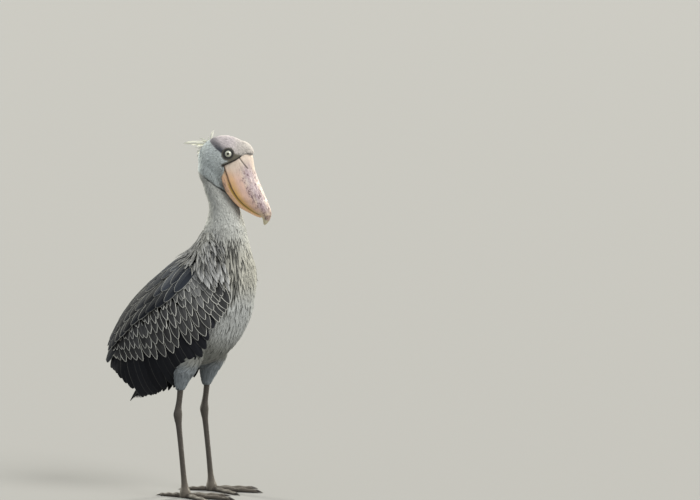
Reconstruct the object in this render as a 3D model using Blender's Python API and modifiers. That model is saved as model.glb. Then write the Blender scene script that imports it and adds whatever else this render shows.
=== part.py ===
"""A shoebill standing at life size: its bill rests on the front of its neck and its wings are folded.

Metres, +Z up. The bird faces +X, its left is +Y, and its soles are at Z = 0.
"""

import math
import random

import bmesh
import bpy
import numpy as np
from mathutils import Vector

# Places below are measured from a point on the floor between the feet; adding ORIGIN_SHIFT
# puts the part's origin under the middle of the whole bird.
ORIGIN_SHIFT = Vector((0.027, 0.0, 0.0))

# GAP is left between nodes at a cut, CLEAR between a node and the neighbour it was cut clear of.
GAP = 0.0003
CLEAR = 0.0005
MOST_SHARPNESS = 3.0
SEED = 7

# Head: heights of its cuts and the small turn of the head to the bird's left.
HEAD_YAW = math.radians(3.0)
HEAD_PIVOT = 0.07
NECK_CUT_HIGH = 0.935
NECK_CUT_LOW = 0.775

# Trunk and neck: back x, back z, front x, front z, half-width, from the throat to the rump.
TRUNK_ROWS = (
    (0.022, 0.985, 0.104, 0.985, 0.040),
    (0.033, 0.945, 0.120, 0.940, 0.043),
    (0.044, 0.912, 0.141, 0.905, 0.046),
    (0.043, 0.880, 0.153, 0.872, 0.051),
    (0.030, 0.836, 0.164, 0.834, 0.061),
    (0.014, 0.797, 0.175, 0.786, 0.072),
    (-0.010, 0.756, 0.187, 0.735, 0.083),
    (-0.042, 0.716, 0.195, 0.680, 0.093),
    (-0.074, 0.676, 0.191, 0.615, 0.101),
    (-0.101, 0.634, 0.174, 0.550, 0.105),
    (-0.123, 0.587, 0.139, 0.487, 0.103),
    (-0.138, 0.538, 0.086, 0.434, 0.093),
    (-0.150, 0.495, 0.018, 0.406, 0.078),
    (-0.158, 0.455, -0.055, 0.402, 0.052),
    (-0.163, 0.428, -0.110, 0.398, 0.030),
)
TRUNK_SIDES = 24
TRUNK_STEPS = 3

# Head masses in the head's own plane: x, z, half-length, half-height, half-width, tilt in degrees.
HEAD_MASSES = (
    (0.098, 1.046, 0.088, 0.078, 0.055, -6.0),
    (0.148, 1.069, 0.043, 0.040, 0.036, -20.0),
    (0.066, 1.016, 0.056, 0.062, 0.048, 8.0),
    (0.112, 1.030, 0.040, 0.034, 0.052, -30.0),
)
CLAY_VOXEL = 0.0055
CLAY_SMOOTHING = 6
HEAD_TRIANGLES = 2800
TRUNK_TRIANGLES = 1800

# Bill, in the head's plane: culmen x, z, mouth edge x, z, half-width, from base to hook.
UPPER_ROWS = (
    (0.1800, 1.0680, 0.1010, 1.0450, 0.040),
    (0.1852, 1.0540, 0.1080, 1.0310, 0.047),
    (0.1905, 1.0225, 0.1185, 1.0065, 0.051),
    (0.2002, 0.9936, 0.1290, 0.9790, 0.053),
    (0.2125, 0.9650, 0.1410, 0.9525, 0.051),
    (0.2260, 0.9350, 0.1560, 0.9295, 0.046),
    (0.2380, 0.9090, 0.1740, 0.9090, 0.037),
    (0.2452, 0.8860, 0.1975, 0.8910, 0.025),
    (0.2425, 0.8690, 0.2150, 0.8800, 0.014),
    (0.2345, 0.8560, 0.2215, 0.8680, 0.0075),
    (0.2260, 0.8485, 0.2225, 0.8530, 0.0025),
)
LOWER_ROWS = (
    (0.1060, 1.0290, 0.0960, 1.0200, 0.043),
    (0.1175, 1.0045, 0.0950, 0.9985, 0.047),
    (0.1278, 0.9775, 0.0995, 0.9745, 0.048),
    (0.1398, 0.9510, 0.1100, 0.9500, 0.046),
    (0.1548, 0.9280, 0.1275, 0.9260, 0.040),
    (0.1728, 0.9078, 0.1500, 0.9030, 0.031),
    (0.1962, 0.8898, 0.1760, 0.8875, 0.020),
    (0.2115, 0.8800, 0.2010, 0.8750, 0.010),
    (0.2170, 0.8762, 0.2130, 0.8715, 0.004),
)
BILL_STATIONS = 16
BILL_TURNS = (90, 76, 60, 44, 28, 14, 6, 0)
KEEL_HEIGHT = 0.0030
KEEL_HALF_ANGLE = 14.0
NOSTRIL_AT = (0.163, 1.0400)
NOSTRIL_OUT = 0.0310
NOSTRIL_TILT = -58.0
NOSTRIL_SIZE = (0.0140, 0.0016, 0.0060)

# Eye: x and z in the head's plane, distance of its centre from that plane, radii. The ring of the
# lids leans in by LID_LEAN per metre forward and per metre up.
EYE_AT = (0.1225, 1.0690)
EYE_OUT = 0.0400
EYE_RADIUS = 0.0135
LID_OUT = 0.0474
LID_LEAN = (-0.16, -0.10)
LID_RADIUS = 0.0135
LID_THICKNESS = 0.0032

# Outlines of a feather: places along it and its share of the full width there.
LONG_OUTLINE = ((0.0, 0.45), (0.26, 0.86), (0.60, 1.0), (0.88, 0.78), (1.0, 0.20))
SHORT_OUTLINE = ((0.0, 0.50), (0.30, 0.94), (0.80, 0.92), (1.0, 0.24))

CREST_THICKNESS = 0.0012
# Crest feathers: root x, z, root's side, angle in degrees from forward, length, width, droop.
CREST_FEATHERS = (
    (0.046, 1.098, 0.000, 176.0, 0.086, 0.0090, 0.004),
    (0.044, 1.099, 0.008, 171.0, 0.070, 0.0080, 0.006),
    (0.044, 1.097, -0.008, 182.0, 0.076, 0.0080, 0.002),
    (0.040, 1.092, 0.014, 186.0, 0.046, 0.0070, 0.003),
    (0.040, 1.092, -0.014, 190.0, 0.042, 0.0070, 0.003),
    (0.047, 1.100, 0.004, 78.0, 0.036, 0.0060, -0.004),
    (0.050, 1.101, -0.006, 112.0, 0.026, 0.0055, 0.002),
    (0.046, 1.101, -0.004, 150.0, 0.034, 0.0065, 0.004),
    (0.032, 1.078, 0.006, 196.0, 0.034, 0.0070, 0.003),
    (0.032, 1.074, -0.007, 204.0, 0.030, 0.0070, 0.003),
)

# Folded wing: back x, back z, lower edge x, lower edge z, half-width, from shoulder to wing tip.
WING_ROWS = (
    (0.015, 0.775, 0.203, 0.668, 0.108),
    (-0.052, 0.732, 0.182, 0.545, 0.138),
    (-0.115, 0.682, 0.112, 0.432, 0.147),
    (-0.175, 0.628, 0.022, 0.360, 0.143),
    (-0.222, 0.572, -0.062, 0.312, 0.128),
    (-0.258, 0.515, -0.134, 0.286, 0.107),
    (-0.283, 0.462, -0.196, 0.284, 0.082),
    (-0.302, 0.415, -0.250, 0.315, 0.050),
)

# The arm under the wing's feathers ends this far short of the tips of the coverts, as phi against u.
CORE_END = ((0.0, 114.0), (1.0, 113.0), (2.0, 108.0), (3.0, 97.0), (4.4, 80.0), (5.8, 56.0))
CORE_DEPTH = -0.012
CORE_THICKNESS = 0.022
ROOT_SINK = -0.0180
CORE_FIRST = 0.05
CORE_LAST = 5.6

# Tiers of the wing: name, count, lines of roots and of tips as (u, phi), lift past the root,
# further rise to the tip, width, thickness, roll in degrees, outline.
TIERS = (
    ("primary", 6, ((4.2, 66.0), (5.3, 56.0)), ((5.2, 150.0), (6.9, 62.0)),
     -0.0165, 0.0010, 0.033, 0.0010, 10.0, LONG_OUTLINE),
    ("secondary", 11, ((1.3, 99.0), (4.6, 69.0)), ((1.6, 131.0), (5.4, 152.0)),
     -0.0098, 0.0015, 0.030, 0.0010, 7.0, LONG_OUTLINE),
    ("greater", 12, ((0.9, 102.0), (5.2, 52.0)), ((1.0, 127.0), (5.6, 76.0)),
     -0.0062, 0.0015, 0.030, 0.0009, 5.0, SHORT_OUTLINE),
    ("median", 12, ((0.5, 94.0), (4.8, 53.0)), ((0.6, 117.0), (5.2, 74.0)),
     -0.0030, 0.0015, 0.031, 0.0009, 4.0, SHORT_OUTLINE),
    ("lesser", 11, ((0.15, 84.0), (4.2, 50.0)), ((0.3, 106.0), (4.6, 70.0)),
     0.0, 0.0015, 0.030, 0.0009, 4.0, SHORT_OUTLINE),
    ("tertial", 4, ((3.3, 44.0), (4.2, 13.0)), ((6.6, 48.0), (7.0, 15.0)),
     -0.0040, 0.0026, 0.034, 0.0010, 11.0, LONG_OUTLINE),
    ("scapular_low", 7, ((0.3, 60.0), (3.6, 38.0)), ((1.7, 74.0), (5.4, 47.0)),
     0.0008, 0.0050, 0.036, 0.0009, 4.5, LONG_OUTLINE),
    ("scapular_high", 7, ((0.1, 33.0), (3.8, 23.0)), ((1.6, 41.0), (5.6, 28.0)),
     0.0020, 0.0060, 0.032, 0.0009, 3.0, LONG_OUTLINE),
    ("mantle", 6, ((0.1, 13.0), (3.6, 9.0)), ((1.5, 15.0), (5.2, 11.0)),
     0.0042, 0.0055, 0.026, 0.0009, 2.0, SHORT_OUTLINE),
)
TIP_SCATTER = 1.2
LIFT_SCATTER = 0.0002
WIDTH_SCATTER = 0.06

# Tail: root and tip of its middle feathers, and half the spread of the tips.
TAIL_ROOT = Vector((-0.128, 0.0, 0.452))
TAIL_TIP = Vector((-0.214, 0.0, 0.293))
TAIL_SPREAD = 0.046
TAIL_ROOT_SPREAD = 0.016
TAIL_FEATHERS = 12
TAIL_TIER = 0.0016
TAIL_WIDTH = 0.030
TAIL_THICKNESS = 0.0011
# The rump that holds the tail feathers: share of the way to the tips, half-height, half-width.
TAIL_CORE = ((-0.06, 0.012, 0.020), (0.10, 0.016, 0.028), (0.34, 0.013, 0.032), (0.52, 0.006, 0.030))

# Thigh: centre x, z, half-length, half-width, from the hip to the bare shin.
THIGH_ROWS = (
    (0.014, 0.470, 0.040, 0.026),
    (0.008, 0.430, 0.044, 0.032),
    (-0.006, 0.397, 0.037, 0.030),
    (-0.017, 0.362, 0.025, 0.021),
    (-0.022, 0.333, 0.0135, 0.0125),
)
THIGH_Y = 0.076
THIGH_SPLAY = 0.04

# Leg: distance from the middle, the left leg's place ahead of the right, and the joints.
FOOT_Y = 0.082
LEFT_AHEAD = 0.022
SHIN_TOP = (-0.0215, 0.3326)
ANKLE = (-0.0300, 0.2600)
FOOT = (-0.0060, 0.0150)
SHIN_RADIUS = 0.0088
ANKLE_RADIUS = 0.0128
TARSUS_RADIUS = 0.0082
SOLE_RADIUS = 0.0165
SOLE_TOP = 0.007

# Toes: name, heading in degrees from forward towards the bird's own middle, length, thickness.
TOES = (
    ("middle", -2.0, 0.150, 0.0088),
    ("inner", 30.0, 0.122, 0.0082),
    ("outer", -34.0, 0.128, 0.0082),
    ("hind", 171.0, 0.086, 0.0076),
)
CLAW_LENGTH = 0.021


def through(rows, at):
    """The rows of numbers joined by a smooth curve, read at the places `at`, counted in rows."""
    rows = np.asarray(rows, float)
    ends = np.vstack([2 * rows[0] - rows[1], rows, 2 * rows[-1] - rows[-2]])
    at = np.clip(np.asarray(at, float), 0, len(rows) - 1)
    first = np.minimum(at.astype(int), len(rows) - 2)
    t = (at - first)[..., None]
    a, b, c, d = (ends[first + k] for k in range(4))
    return 0.5 * (2 * b + (c - a) * t + (2 * a - 5 * b + 4 * c - d) * t**2 + (3 * b - a - 3 * c + d) * t**3)


def mesh_object(name, points, faces):
    """A new object from points and faces, with its faces turned outwards."""
    mesh = bpy.data.meshes.new(name)
    mesh.from_pydata([tuple(map(float, p)) for p in points], [], faces)
    made = bpy.data.objects.new(name, mesh)
    bpy.context.scene.collection.objects.link(made)
    shape = bmesh.new()
    shape.from_mesh(mesh)
    bmesh.ops.recalc_face_normals(shape, faces=shape.faces)
    if shape.calc_volume(signed=True) < 0:
        bmesh.ops.reverse_faces(shape, faces=shape.faces)
    shape.to_mesh(mesh)
    shape.free()
    return made


def loft(name, rings):
    """A closed skin over rings of points that all have the same count."""
    count = len(rings[0])
    faces = [tuple(range(count)), tuple(range((len(rings) - 1) * count, len(rings) * count))]
    for ring in range(len(rings) - 1):
        for k in range(count):
            a, b = ring * count + k, ring * count + (k + 1) % count
            faces += [(a, b, b + count), (a, b + count, a + count)]
    return mesh_object(name, [p for ring in rings for p in ring], faces)


def apply_modifiers(obj):
    """Bakes the object's modifiers into its mesh."""
    graph = bpy.context.evaluated_depsgraph_get()
    baked = bpy.data.meshes.new_from_object(obj.evaluated_get(graph))
    obj.modifiers.clear()
    obj.data = baked


def boolean(obj, others, operation):
    """Joins the other closed meshes to the object or cuts them from it, and removes them."""
    group = bpy.data.collections.new("pieces")
    bpy.context.scene.collection.children.link(group)
    for other in others:
        group.objects.link(other)
    change = obj.modifiers.new(operation.lower(), "BOOLEAN")
    change.operation = operation
    change.solver = "MANIFOLD"
    change.operand_type = "COLLECTION"
    change.collection = group
    apply_modifiers(obj)
    for other in others:
        bpy.data.objects.remove(other)
    bpy.data.collections.remove(group)
    keep_largest(obj)


def keep_largest(obj):
    """Keeps only the object's largest closed surface."""
    shape = bmesh.new()
    shape.from_mesh(obj.data)
    bmesh.ops.triangulate(shape, faces=shape.faces)
    shape.faces.ensure_lookup_table()
    seen, surfaces = set(), []
    for start in shape.faces:
        if start.index in seen:
            continue
        surface, waiting = [], [start]
        seen.add(start.index)
        while waiting:
            face = waiting.pop()
            surface.append(face)
            for edge in face.edges:
                for near in edge.link_faces:
                    if near.index not in seen:
                        seen.add(near.index)
                        waiting.append(near)
        surfaces.append(surface)
    largest = max(surfaces, key=span)
    loose = [face for surface in surfaces if surface is not largest for face in surface]
    bmesh.ops.delete(shape, geom=loose, context="FACES")
    shape.to_mesh(obj.data)
    shape.free()


def span(faces):
    """The length of the diagonal of the box round some faces."""
    corners = np.array([vert.co[:] for face in faces for vert in face.verts])
    return float(np.linalg.norm(corners.max(axis=0) - corners.min(axis=0)))


def grown(obj, by=CLEAR):
    """A copy of the object, its surface moved outwards."""
    copy = bpy.data.objects.new(obj.name + "_grown", obj.data.copy())
    bpy.context.scene.collection.objects.link(copy)
    shape = bmesh.new()
    shape.from_mesh(copy.data)
    shape.normal_update()
    steps = [vert.normal * by * min(vert.calc_shell_factor(), MOST_SHARPNESS) for vert in shape.verts]
    for vert, step in zip(shape.verts, steps):
        vert.co += step
    shape.to_mesh(copy.data)
    shape.free()
    return copy


def cut_clear(obj, *others):
    """Cuts the object back from its neighbours by the clearance."""
    boolean(obj, [grown(other) for other in others], "DIFFERENCE")


def box(name, low, high):
    """A box between two corners."""
    bpy.ops.mesh.primitive_cube_add(size=1.0)
    made = bpy.context.active_object
    made.name = name
    for vert in made.data.vertices:
        vert.co = Vector([lo + (c + 0.5) * (hi - lo) for lo, hi, c in zip(low, high, vert.co)])
    return made


def in_head(x, z, side=0.0):
    """A point from the head's own plane, turned with the head about the top of the neck."""
    along = x - HEAD_PIVOT
    return Vector((
        HEAD_PIVOT + along * math.cos(HEAD_YAW) - side * math.sin(HEAD_YAW),
        along * math.sin(HEAD_YAW) + side * math.cos(HEAD_YAW),
        z,
    ))


def trunk_surface(name):
    """The trunk and neck as one loft of oval sections."""
    steps = np.linspace(0, len(TRUNK_ROWS) - 1, (len(TRUNK_ROWS) - 1) * TRUNK_STEPS + 1)
    rings = []
    for back_x, back_z, front_x, front_z, width in through(TRUNK_ROWS, steps):
        ring = []
        for k in range(TRUNK_SIDES):
            turn = 2 * math.pi * k / TRUNK_SIDES
            share = (1 - math.cos(turn)) / 2
            x = back_x + (front_x - back_x) * share
            z = back_z + (front_z - back_z) * share
            ring.append((x, width * math.sin(turn), z))
        rings.append(ring)
    return loft(name, rings)


def head_mass(name, x, z, long, high, wide, tilt):
    """One rounded mass of the head."""
    bpy.ops.mesh.primitive_uv_sphere_add(segments=32, ring_count=20, radius=1.0)
    made = bpy.context.active_object
    made.name = name
    turn = math.radians(tilt)
    for vert in made.data.vertices:
        along, side, up = vert.co.x * long, vert.co.y * wide, vert.co.z * high
        vert.co = in_head(
            x + along * math.cos(turn) - up * math.sin(turn),
            z + along * math.sin(turn) + up * math.cos(turn),
            side,
        )
    return made


def clay(name, triangles):
    """Head, neck and trunk in one smooth closed surface of about this many triangles."""
    body = trunk_surface(name)
    masses = [head_mass(f"mass_{k}", *row) for k, row in enumerate(HEAD_MASSES)]
    boolean(body, masses, "UNION")
    remesh = body.modifiers.new("clay", "REMESH")
    remesh.mode = "VOXEL"
    remesh.voxel_size = CLAY_VOXEL
    smooth = body.modifiers.new("smooth", "SMOOTH")
    smooth.factor = 0.5
    smooth.iterations = CLAY_SMOOTHING
    apply_modifiers(body)
    found = sum(len(face.vertices) - 2 for face in body.data.polygons)
    thin = body.modifiers.new("thin", "DECIMATE")
    thin.ratio = triangles / found
    apply_modifiers(body)
    return body


def slab(name, low, high):
    """Everything between two heights."""
    return box(name, (-0.6, -0.4, low), (0.6, 0.4, high))


def turn_outwards(obj):
    """Turns the object's faces outwards."""
    shape = bmesh.new()
    shape.from_mesh(obj.data)
    bmesh.ops.recalc_face_normals(shape, faces=shape.faces)
    shape.to_mesh(obj.data)
    shape.free()


def bill_section(culmen_x, culmen_z, edge_x, edge_z, width):
    """One section of the upper bill: a keeled roof down to the two cutting edges."""
    ring = []
    for degrees in BILL_TURNS:
        turn = math.radians(degrees)
        share = 1 - math.cos(turn)
        keel = KEEL_HEIGHT * max(0.0, 1 - degrees / KEEL_HALF_ANGLE) * min(1.0, width / 0.03)
        reach = math.hypot(culmen_x - edge_x, culmen_z - edge_z)
        share -= keel / max(reach, 0.001)
        side = width * math.sin(turn) ** 0.85
        ring.append((culmen_x + (edge_x - culmen_x) * share, culmen_z + (edge_z - culmen_z) * share, side))
    right = [in_head(x, z, -side) for x, z, side in ring]
    left = [in_head(x, z, side) for x, z, side in reversed(ring[:-1])]
    return right + left


def upper_bill():
    """The upper bill from the forehead to the hook."""
    steps = np.linspace(0, len(UPPER_ROWS) - 1, BILL_STATIONS)
    return loft("bill_upper", [bill_section(*row) for row in through(UPPER_ROWS, steps)])


def nostril_cutter(side):
    """A narrow slit along the groove beside the keel."""
    length, height, depth = NOSTRIL_SIZE
    made = box("nostril", (-length / 2, -depth, -height / 2), (length / 2, depth, height / 2))
    turn = math.radians(NOSTRIL_TILT)
    for vert in made.data.vertices:
        along, out, up = vert.co
        vert.co = in_head(
            NOSTRIL_AT[0] + along * math.cos(turn) - up * math.sin(turn),
            NOSTRIL_AT[1] + along * math.sin(turn) + up * math.cos(turn),
            side * (NOSTRIL_OUT + out),
        )
    turn_outwards(made)
    return made


def lower_bill():
    """The lower bill: a deep trough that ends inside the hook."""
    rings = []
    steps = np.linspace(0, len(LOWER_ROWS) - 1, BILL_STATIONS)
    for edge_x, edge_z, under_x, under_z, width in through(LOWER_ROWS, steps):
        ring = []
        for k in range(9):
            turn = math.pi * k / 8
            side = width * np.sign(math.cos(turn)) * abs(math.cos(turn)) ** 0.45
            share = math.sin(turn) ** 0.6
            x, z = edge_x + (under_x - edge_x) * share, edge_z + (under_z - edge_z) * share
            ring.append(in_head(x, z, side))
        rings.append(ring)
    return loft("bill_lower", rings)


def eye(name, side):
    """An eyeball, set in the head with the lids round it."""
    bpy.ops.mesh.primitive_uv_sphere_add(segments=12, ring_count=8, radius=EYE_RADIUS)
    made = bpy.context.active_object
    made.name = name
    place = in_head(*EYE_AT, side * EYE_OUT)
    for vert in made.data.vertices:
        vert.co += place
    return made


def lids(side):
    """The ring of the lids round one eye."""
    bpy.ops.mesh.primitive_torus_add(
        major_radius=LID_RADIUS, minor_radius=LID_THICKNESS, major_segments=16, minor_segments=5)
    made = bpy.context.active_object
    for vert in made.data.vertices:
        across, up, depth = vert.co
        out = LID_OUT + depth + LID_LEAN[0] * across + LID_LEAN[1] * up
        vert.co = in_head(EYE_AT[0] + across, EYE_AT[1] + up, side * out)
    turn_outwards(made)
    return made


def vane(name, outline, centre, normals, width, thick, roll=0.0):
    """A flat feather: a strip along its middle line, rounded at the tip and rolled towards the tip."""
    points = []
    for k, (t, share) in enumerate(outline):
        ahead = centre[min(k + 1, len(centre) - 1)] - centre[max(k - 1, 0)]
        side = ahead.cross(normals[k]).normalized()
        up = side.cross(ahead).normalized()
        turn = roll * (1 + t) / 2
        side, up = side * math.cos(turn) + up * math.sin(turn), up * math.cos(turn) - side * math.sin(turn)
        out, rise = side * width / 2 * share, up * thick / 2
        points += [centre[k] + offset for offset in (out + rise, rise - out, -out - rise, out - rise)]
    faces = [(0, 1, 2, 3), tuple(len(points) - 4 + k for k in range(4))]
    for a in range(0, len(points) - 4, 4):
        faces += [(a, a + 1, a + 5), (a, a + 5, a + 4), (a + 3, a + 2, a + 6), (a + 3, a + 6, a + 7),
                  (a + 1, a + 2, a + 6, a + 5), (a + 3, a, a + 4, a + 7)]
    return mesh_object(name, points, faces)


def crest_feather(number, x, z, side, angle, length, width, droop):
    """One feather of the crest, rooted in the back of the crown."""
    turn = math.radians(angle)
    centre, normals = [], []
    for t, _ in LONG_OUTLINE:
        reach = t * length
        centre.append(in_head(
            x + reach * math.cos(turn), z + reach * math.sin(turn) - droop * t * t, side * (1 + 0.6 * t)))
        normals.append(Vector((-math.sin(turn), 0.25 * (1 if side > 0 else -1), math.cos(turn))))
    return vane(f"crest_{number}", LONG_OUTLINE, centre, normals, width, CREST_THICKNESS)


def wing_point(u, phi, lift, side):
    """A point over the folded wing: u runs to the tip, phi round from the back, lift outwards."""
    def on(a, b):
        back_x, back_z, low_x, low_z, width = through(WING_ROWS, a)
        share = (1 - math.cos(math.radians(b))) / 2
        x, z = back_x + (low_x - back_x) * share, back_z + (low_z - back_z) * share
        return Vector((x, width * math.sin(math.radians(b)), z))
    here = on(u, phi)
    along = on(min(u + 0.05, len(WING_ROWS) - 1), phi) - on(max(u - 0.05, 0), phi)
    around = on(u, phi + 1) - on(u, phi - 1)
    normal = around.cross(along).normalized()
    if normal.y < 0 and phi > 8:
        normal = -normal
    here = here + normal * lift
    return Vector((here.x, side * here.y, here.z)), Vector((normal.x, side * normal.y, normal.z))


def line_at(line, u):
    """The height of a line over the wing at u."""
    return float(np.interp(u, [p[0] for p in line], [p[1] for p in line]))


def wing_core(name, side):
    """The arm under the feathers."""
    rings = []
    for u in np.linspace(CORE_FIRST, CORE_LAST, 7):
        first, last = 3.0 + 0.5 * u, line_at(CORE_END, u)
        thickness = CORE_THICKNESS * (1 - 0.1 * u)
        turns = np.linspace(first, last, 5)
        outer = [wing_point(u, phi, CORE_DEPTH, side)[0] for phi in turns]
        inner = [wing_point(u, phi, CORE_DEPTH - thickness, side)[0] for phi in reversed(turns[1:-1])]
        rings.append(outer + inner)
    return loft(name, rings)


def wing_vane(name, root, tip, lift, rise, width, thick, side, roll, outline):
    """A feather that follows the wing from a root to a tip, both as u and phi."""
    centre, normals = [], []
    for t, _ in outline:
        height = ROOT_SINK + (lift - ROOT_SINK) * min(1.0, t / outline[1][0]) + rise * t
        u, phi = root[0] + (tip[0] - root[0]) * t, root[1] + (tip[1] - root[1]) * t
        place, normal = wing_point(u, phi, height, side)
        centre.append(place)
        normals.append(normal)
    return vane(name, outline, centre, normals, width, thick, -side * roll)


def tip_drop(tier, t):
    """How much further round the wing the middle secondaries reach, and how much less the first."""
    if tier != "secondary":
        return 0.0
    return 8.0 * math.sin(math.pi * min(1.0, t * 1.15)) - 14.0 * max(0.0, 0.4 - t)


def wing(name, side):
    """One folded wing: the arm and every tier of its feathers, fused at their roots."""
    made = wing_core(name, side)
    draw = random.Random(SEED + side)
    feathers = []
    for tier, count, roots, tips, lift, rise, width, thick, roll, outline in TIERS:
        for k in range(count):
            t = k / (count - 1)
            root = [a + (b - a) * t for a, b in zip(*roots)]
            tip = [a + (b - a) * t for a, b in zip(*tips)]
            tip[1] += tip_drop(tier, t) + draw.uniform(-TIP_SCATTER, TIP_SCATTER)
            height = lift + draw.uniform(-LIFT_SCATTER, LIFT_SCATTER)
            wide = width * (1 + draw.uniform(-WIDTH_SCATTER, WIDTH_SCATTER))
            feathers.append(wing_vane(
                f"{tier}_{k}", root, tip, height, rise, wide, thick, side, math.radians(roll), outline))
    boolean(made, feathers, "UNION")
    return made


def tail():
    """The tail feathers, fanned a little and fused in the rump."""
    axis = TAIL_TIP - TAIL_ROOT
    above = Vector((0, 1, 0)).cross(axis).normalized()
    if above.z < 0:
        above = -above
    feathers = []
    for k in range(TAIL_FEATHERS):
        place = 2 * k / (TAIL_FEATHERS - 1) - 1
        drop = above * TAIL_TIER * abs(place) * TAIL_FEATHERS / 2
        root = TAIL_ROOT + Vector((0, TAIL_ROOT_SPREAD * place, 0)) - drop
        tip = TAIL_TIP + Vector((0, TAIL_SPREAD * place, 0.004 * place * place)) - drop
        centre = [root.lerp(tip, t) for t, _ in SHORT_OUTLINE]
        feathers.append(vane(
            f"rectrix_{k}", SHORT_OUTLINE, centre, [above] * len(centre), TAIL_WIDTH, TAIL_THICKNESS))
    rings = []
    turns = [2 * math.pi * n / 8 for n in range(8)]
    for t, high, wide in TAIL_CORE:
        middle = TAIL_ROOT.lerp(TAIL_TIP, t)
        rings.append([
            middle + Vector((0, wide * math.cos(a), 0)) + above * high * math.sin(a) for a in turns])
    made = loft("tail", rings)
    boolean(made, feathers, "UNION")
    return made


def thigh_out(z):
    """How far from the middle a thigh's own middle is at a height."""
    return THIGH_Y + THIGH_SPLAY * (THIGH_ROWS[0][1] - z)


def thigh(name, side):
    """The feathered upper leg."""
    ahead = LEFT_AHEAD if side > 0 else 0.0
    rings = []
    for x, z, long, wide in through(THIGH_ROWS, np.linspace(0, len(THIGH_ROWS) - 1, 7)):
        turns = [2 * math.pi * k / 12 for k in range(12)]
        middle_y = side * thigh_out(z)
        rings.append([(x + ahead + long * math.cos(a), middle_y + wide * math.sin(a), z) for a in turns])
    return loft(name, rings)


def leg(name, side):
    """Bare shin, ankle, tarsus and the pad that the toes grow from."""
    ahead = LEFT_AHEAD if side > 0 else 0.0
    hip_y, foot_y = side * thigh_out(SHIN_TOP[1]), side * FOOT_Y
    shin_x, shin_z = (top * 0.6 + low * 0.4 for top, low in zip(SHIN_TOP, ANKLE))
    tarsus_x, tarsus_z = (top * 0.45 + low * 0.55 for top, low in zip(ANKLE, FOOT))
    stations = (
        (*SHIN_TOP, hip_y, SHIN_RADIUS),
        (shin_x, shin_z, hip_y, SHIN_RADIUS * 0.95),
        (ANKLE[0] + 0.0016, ANKLE[1] + 0.020, hip_y, SHIN_RADIUS * 1.10),
        (*ANKLE, hip_y, ANKLE_RADIUS),
        (ANKLE[0] + 0.0010, ANKLE[1] - 0.018, hip_y, ANKLE_RADIUS * 0.86),
        (ANKLE[0] + 0.0040, ANKLE[1] - 0.045, hip_y, TARSUS_RADIUS * 1.02),
        (tarsus_x, tarsus_z, foot_y, TARSUS_RADIUS * 0.94),
        (FOOT[0] - 0.0045, FOOT[1] + 0.045, foot_y, TARSUS_RADIUS * 1.02),
        (FOOT[0] - 0.0015, FOOT[1] + 0.020, foot_y, TARSUS_RADIUS * 1.35),
        (FOOT[0], FOOT[1] + 0.004, foot_y, SOLE_RADIUS * 0.97),
        (FOOT[0], SOLE_TOP, foot_y, SOLE_RADIUS),
        (FOOT[0], 0.0, foot_y, SOLE_RADIUS * 0.80),
    )
    rings = []
    for x, z, y, radius in stations:
        turns = [2 * math.pi * (k + 0.5) / 10 for k in range(10)]
        rings.append([(x + ahead + radius * math.cos(a), y + radius * math.sin(a), z) for a in turns])
    return loft(name, rings)


def toe_frame(side, heading):
    """Where a toe starts, and the directions ahead of it and across it."""
    ahead = LEFT_AHEAD if side > 0 else 0.0
    turn = math.radians(-side * heading)
    start = Vector((FOOT[0] + ahead, side * FOOT_Y, 0.0))
    return start, Vector((math.cos(turn), math.sin(turn), 0)), Vector((-math.sin(turn), math.cos(turn), 0))


def toe(name, side, heading, length, radius):
    """A toe with its joints, flat where it rests on the floor."""
    start, ahead, across = toe_frame(side, heading)
    rings = []
    for k in range(8):
        t = k / 7
        swell = 1.0 + 0.10 * math.cos(3 * 2 * math.pi * t)
        size = radius * (1.0 - 0.36 * t) * swell
        height = size * 0.80 + 0.002 * (1 - t)
        ring = []
        for n in range(8):
            turn = 2 * math.pi * (n + 0.5) / 8
            level = max(0.0, height + size * 0.95 * math.sin(turn))
            ring.append(start + ahead * (0.006 + (length - 0.006) * t) + across * size * math.cos(turn)
                        + Vector((0, 0, level)))
        rings.append(ring)
    return loft(name, rings)


def claw(name, side, heading, length, radius):
    """A claw, curved down to the floor from the end of its toe."""
    start, ahead, across = toe_frame(side, heading)
    base = radius * 0.64
    rings = []
    for k in range(5):
        t = k / 4
        size = base * (1 - 0.86 * t)
        height = base * 0.92 * (1 - t**1.7) + size * 0.4 + 0.0010
        reach = length + GAP + CLAW_LENGTH * t
        ring = []
        for n in range(6):
            turn = 2 * math.pi * (n + 0.5) / 6
            level = max(0.0008, height + size * 1.05 * math.sin(turn))
            ring.append(start + ahead * reach + across * size * 0.8 * math.cos(turn) + Vector((0, 0, level)))
        rings.append(ring)
    return loft(name, rings)


def material(name, colour, roughness):
    """A plain finish."""
    made = bpy.data.materials.new(name)
    made.use_nodes = True
    shader = made.node_tree.nodes["Principled BSDF"]
    shader.inputs["Base Color"].default_value = (*colour, 1.0)
    shader.inputs["Roughness"].default_value = roughness
    shader.inputs["Metallic"].default_value = 0.0
    return made


def head_and_neck(upper, lower, eyes):
    """The head with its lids and crest, and the neck under it."""
    head = clay("head", HEAD_TRIANGLES)
    boolean(head, [slab("above", NECK_CUT_HIGH + GAP / 2, 1.4)], "INTERSECT")
    boolean(head, [lids(-1), lids(1)], "UNION")
    boolean(head, [crest_feather(k, *row) for k, row in enumerate(CREST_FEATHERS)], "UNION")
    cut_clear(head, upper, lower, *eyes)
    neck = clay("neck", HEAD_TRIANGLES)
    boolean(neck, [slab("between", NECK_CUT_LOW + GAP / 2, NECK_CUT_HIGH - GAP / 2)], "INTERSECT")
    cut_clear(neck, lower)
    return head, neck


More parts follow.
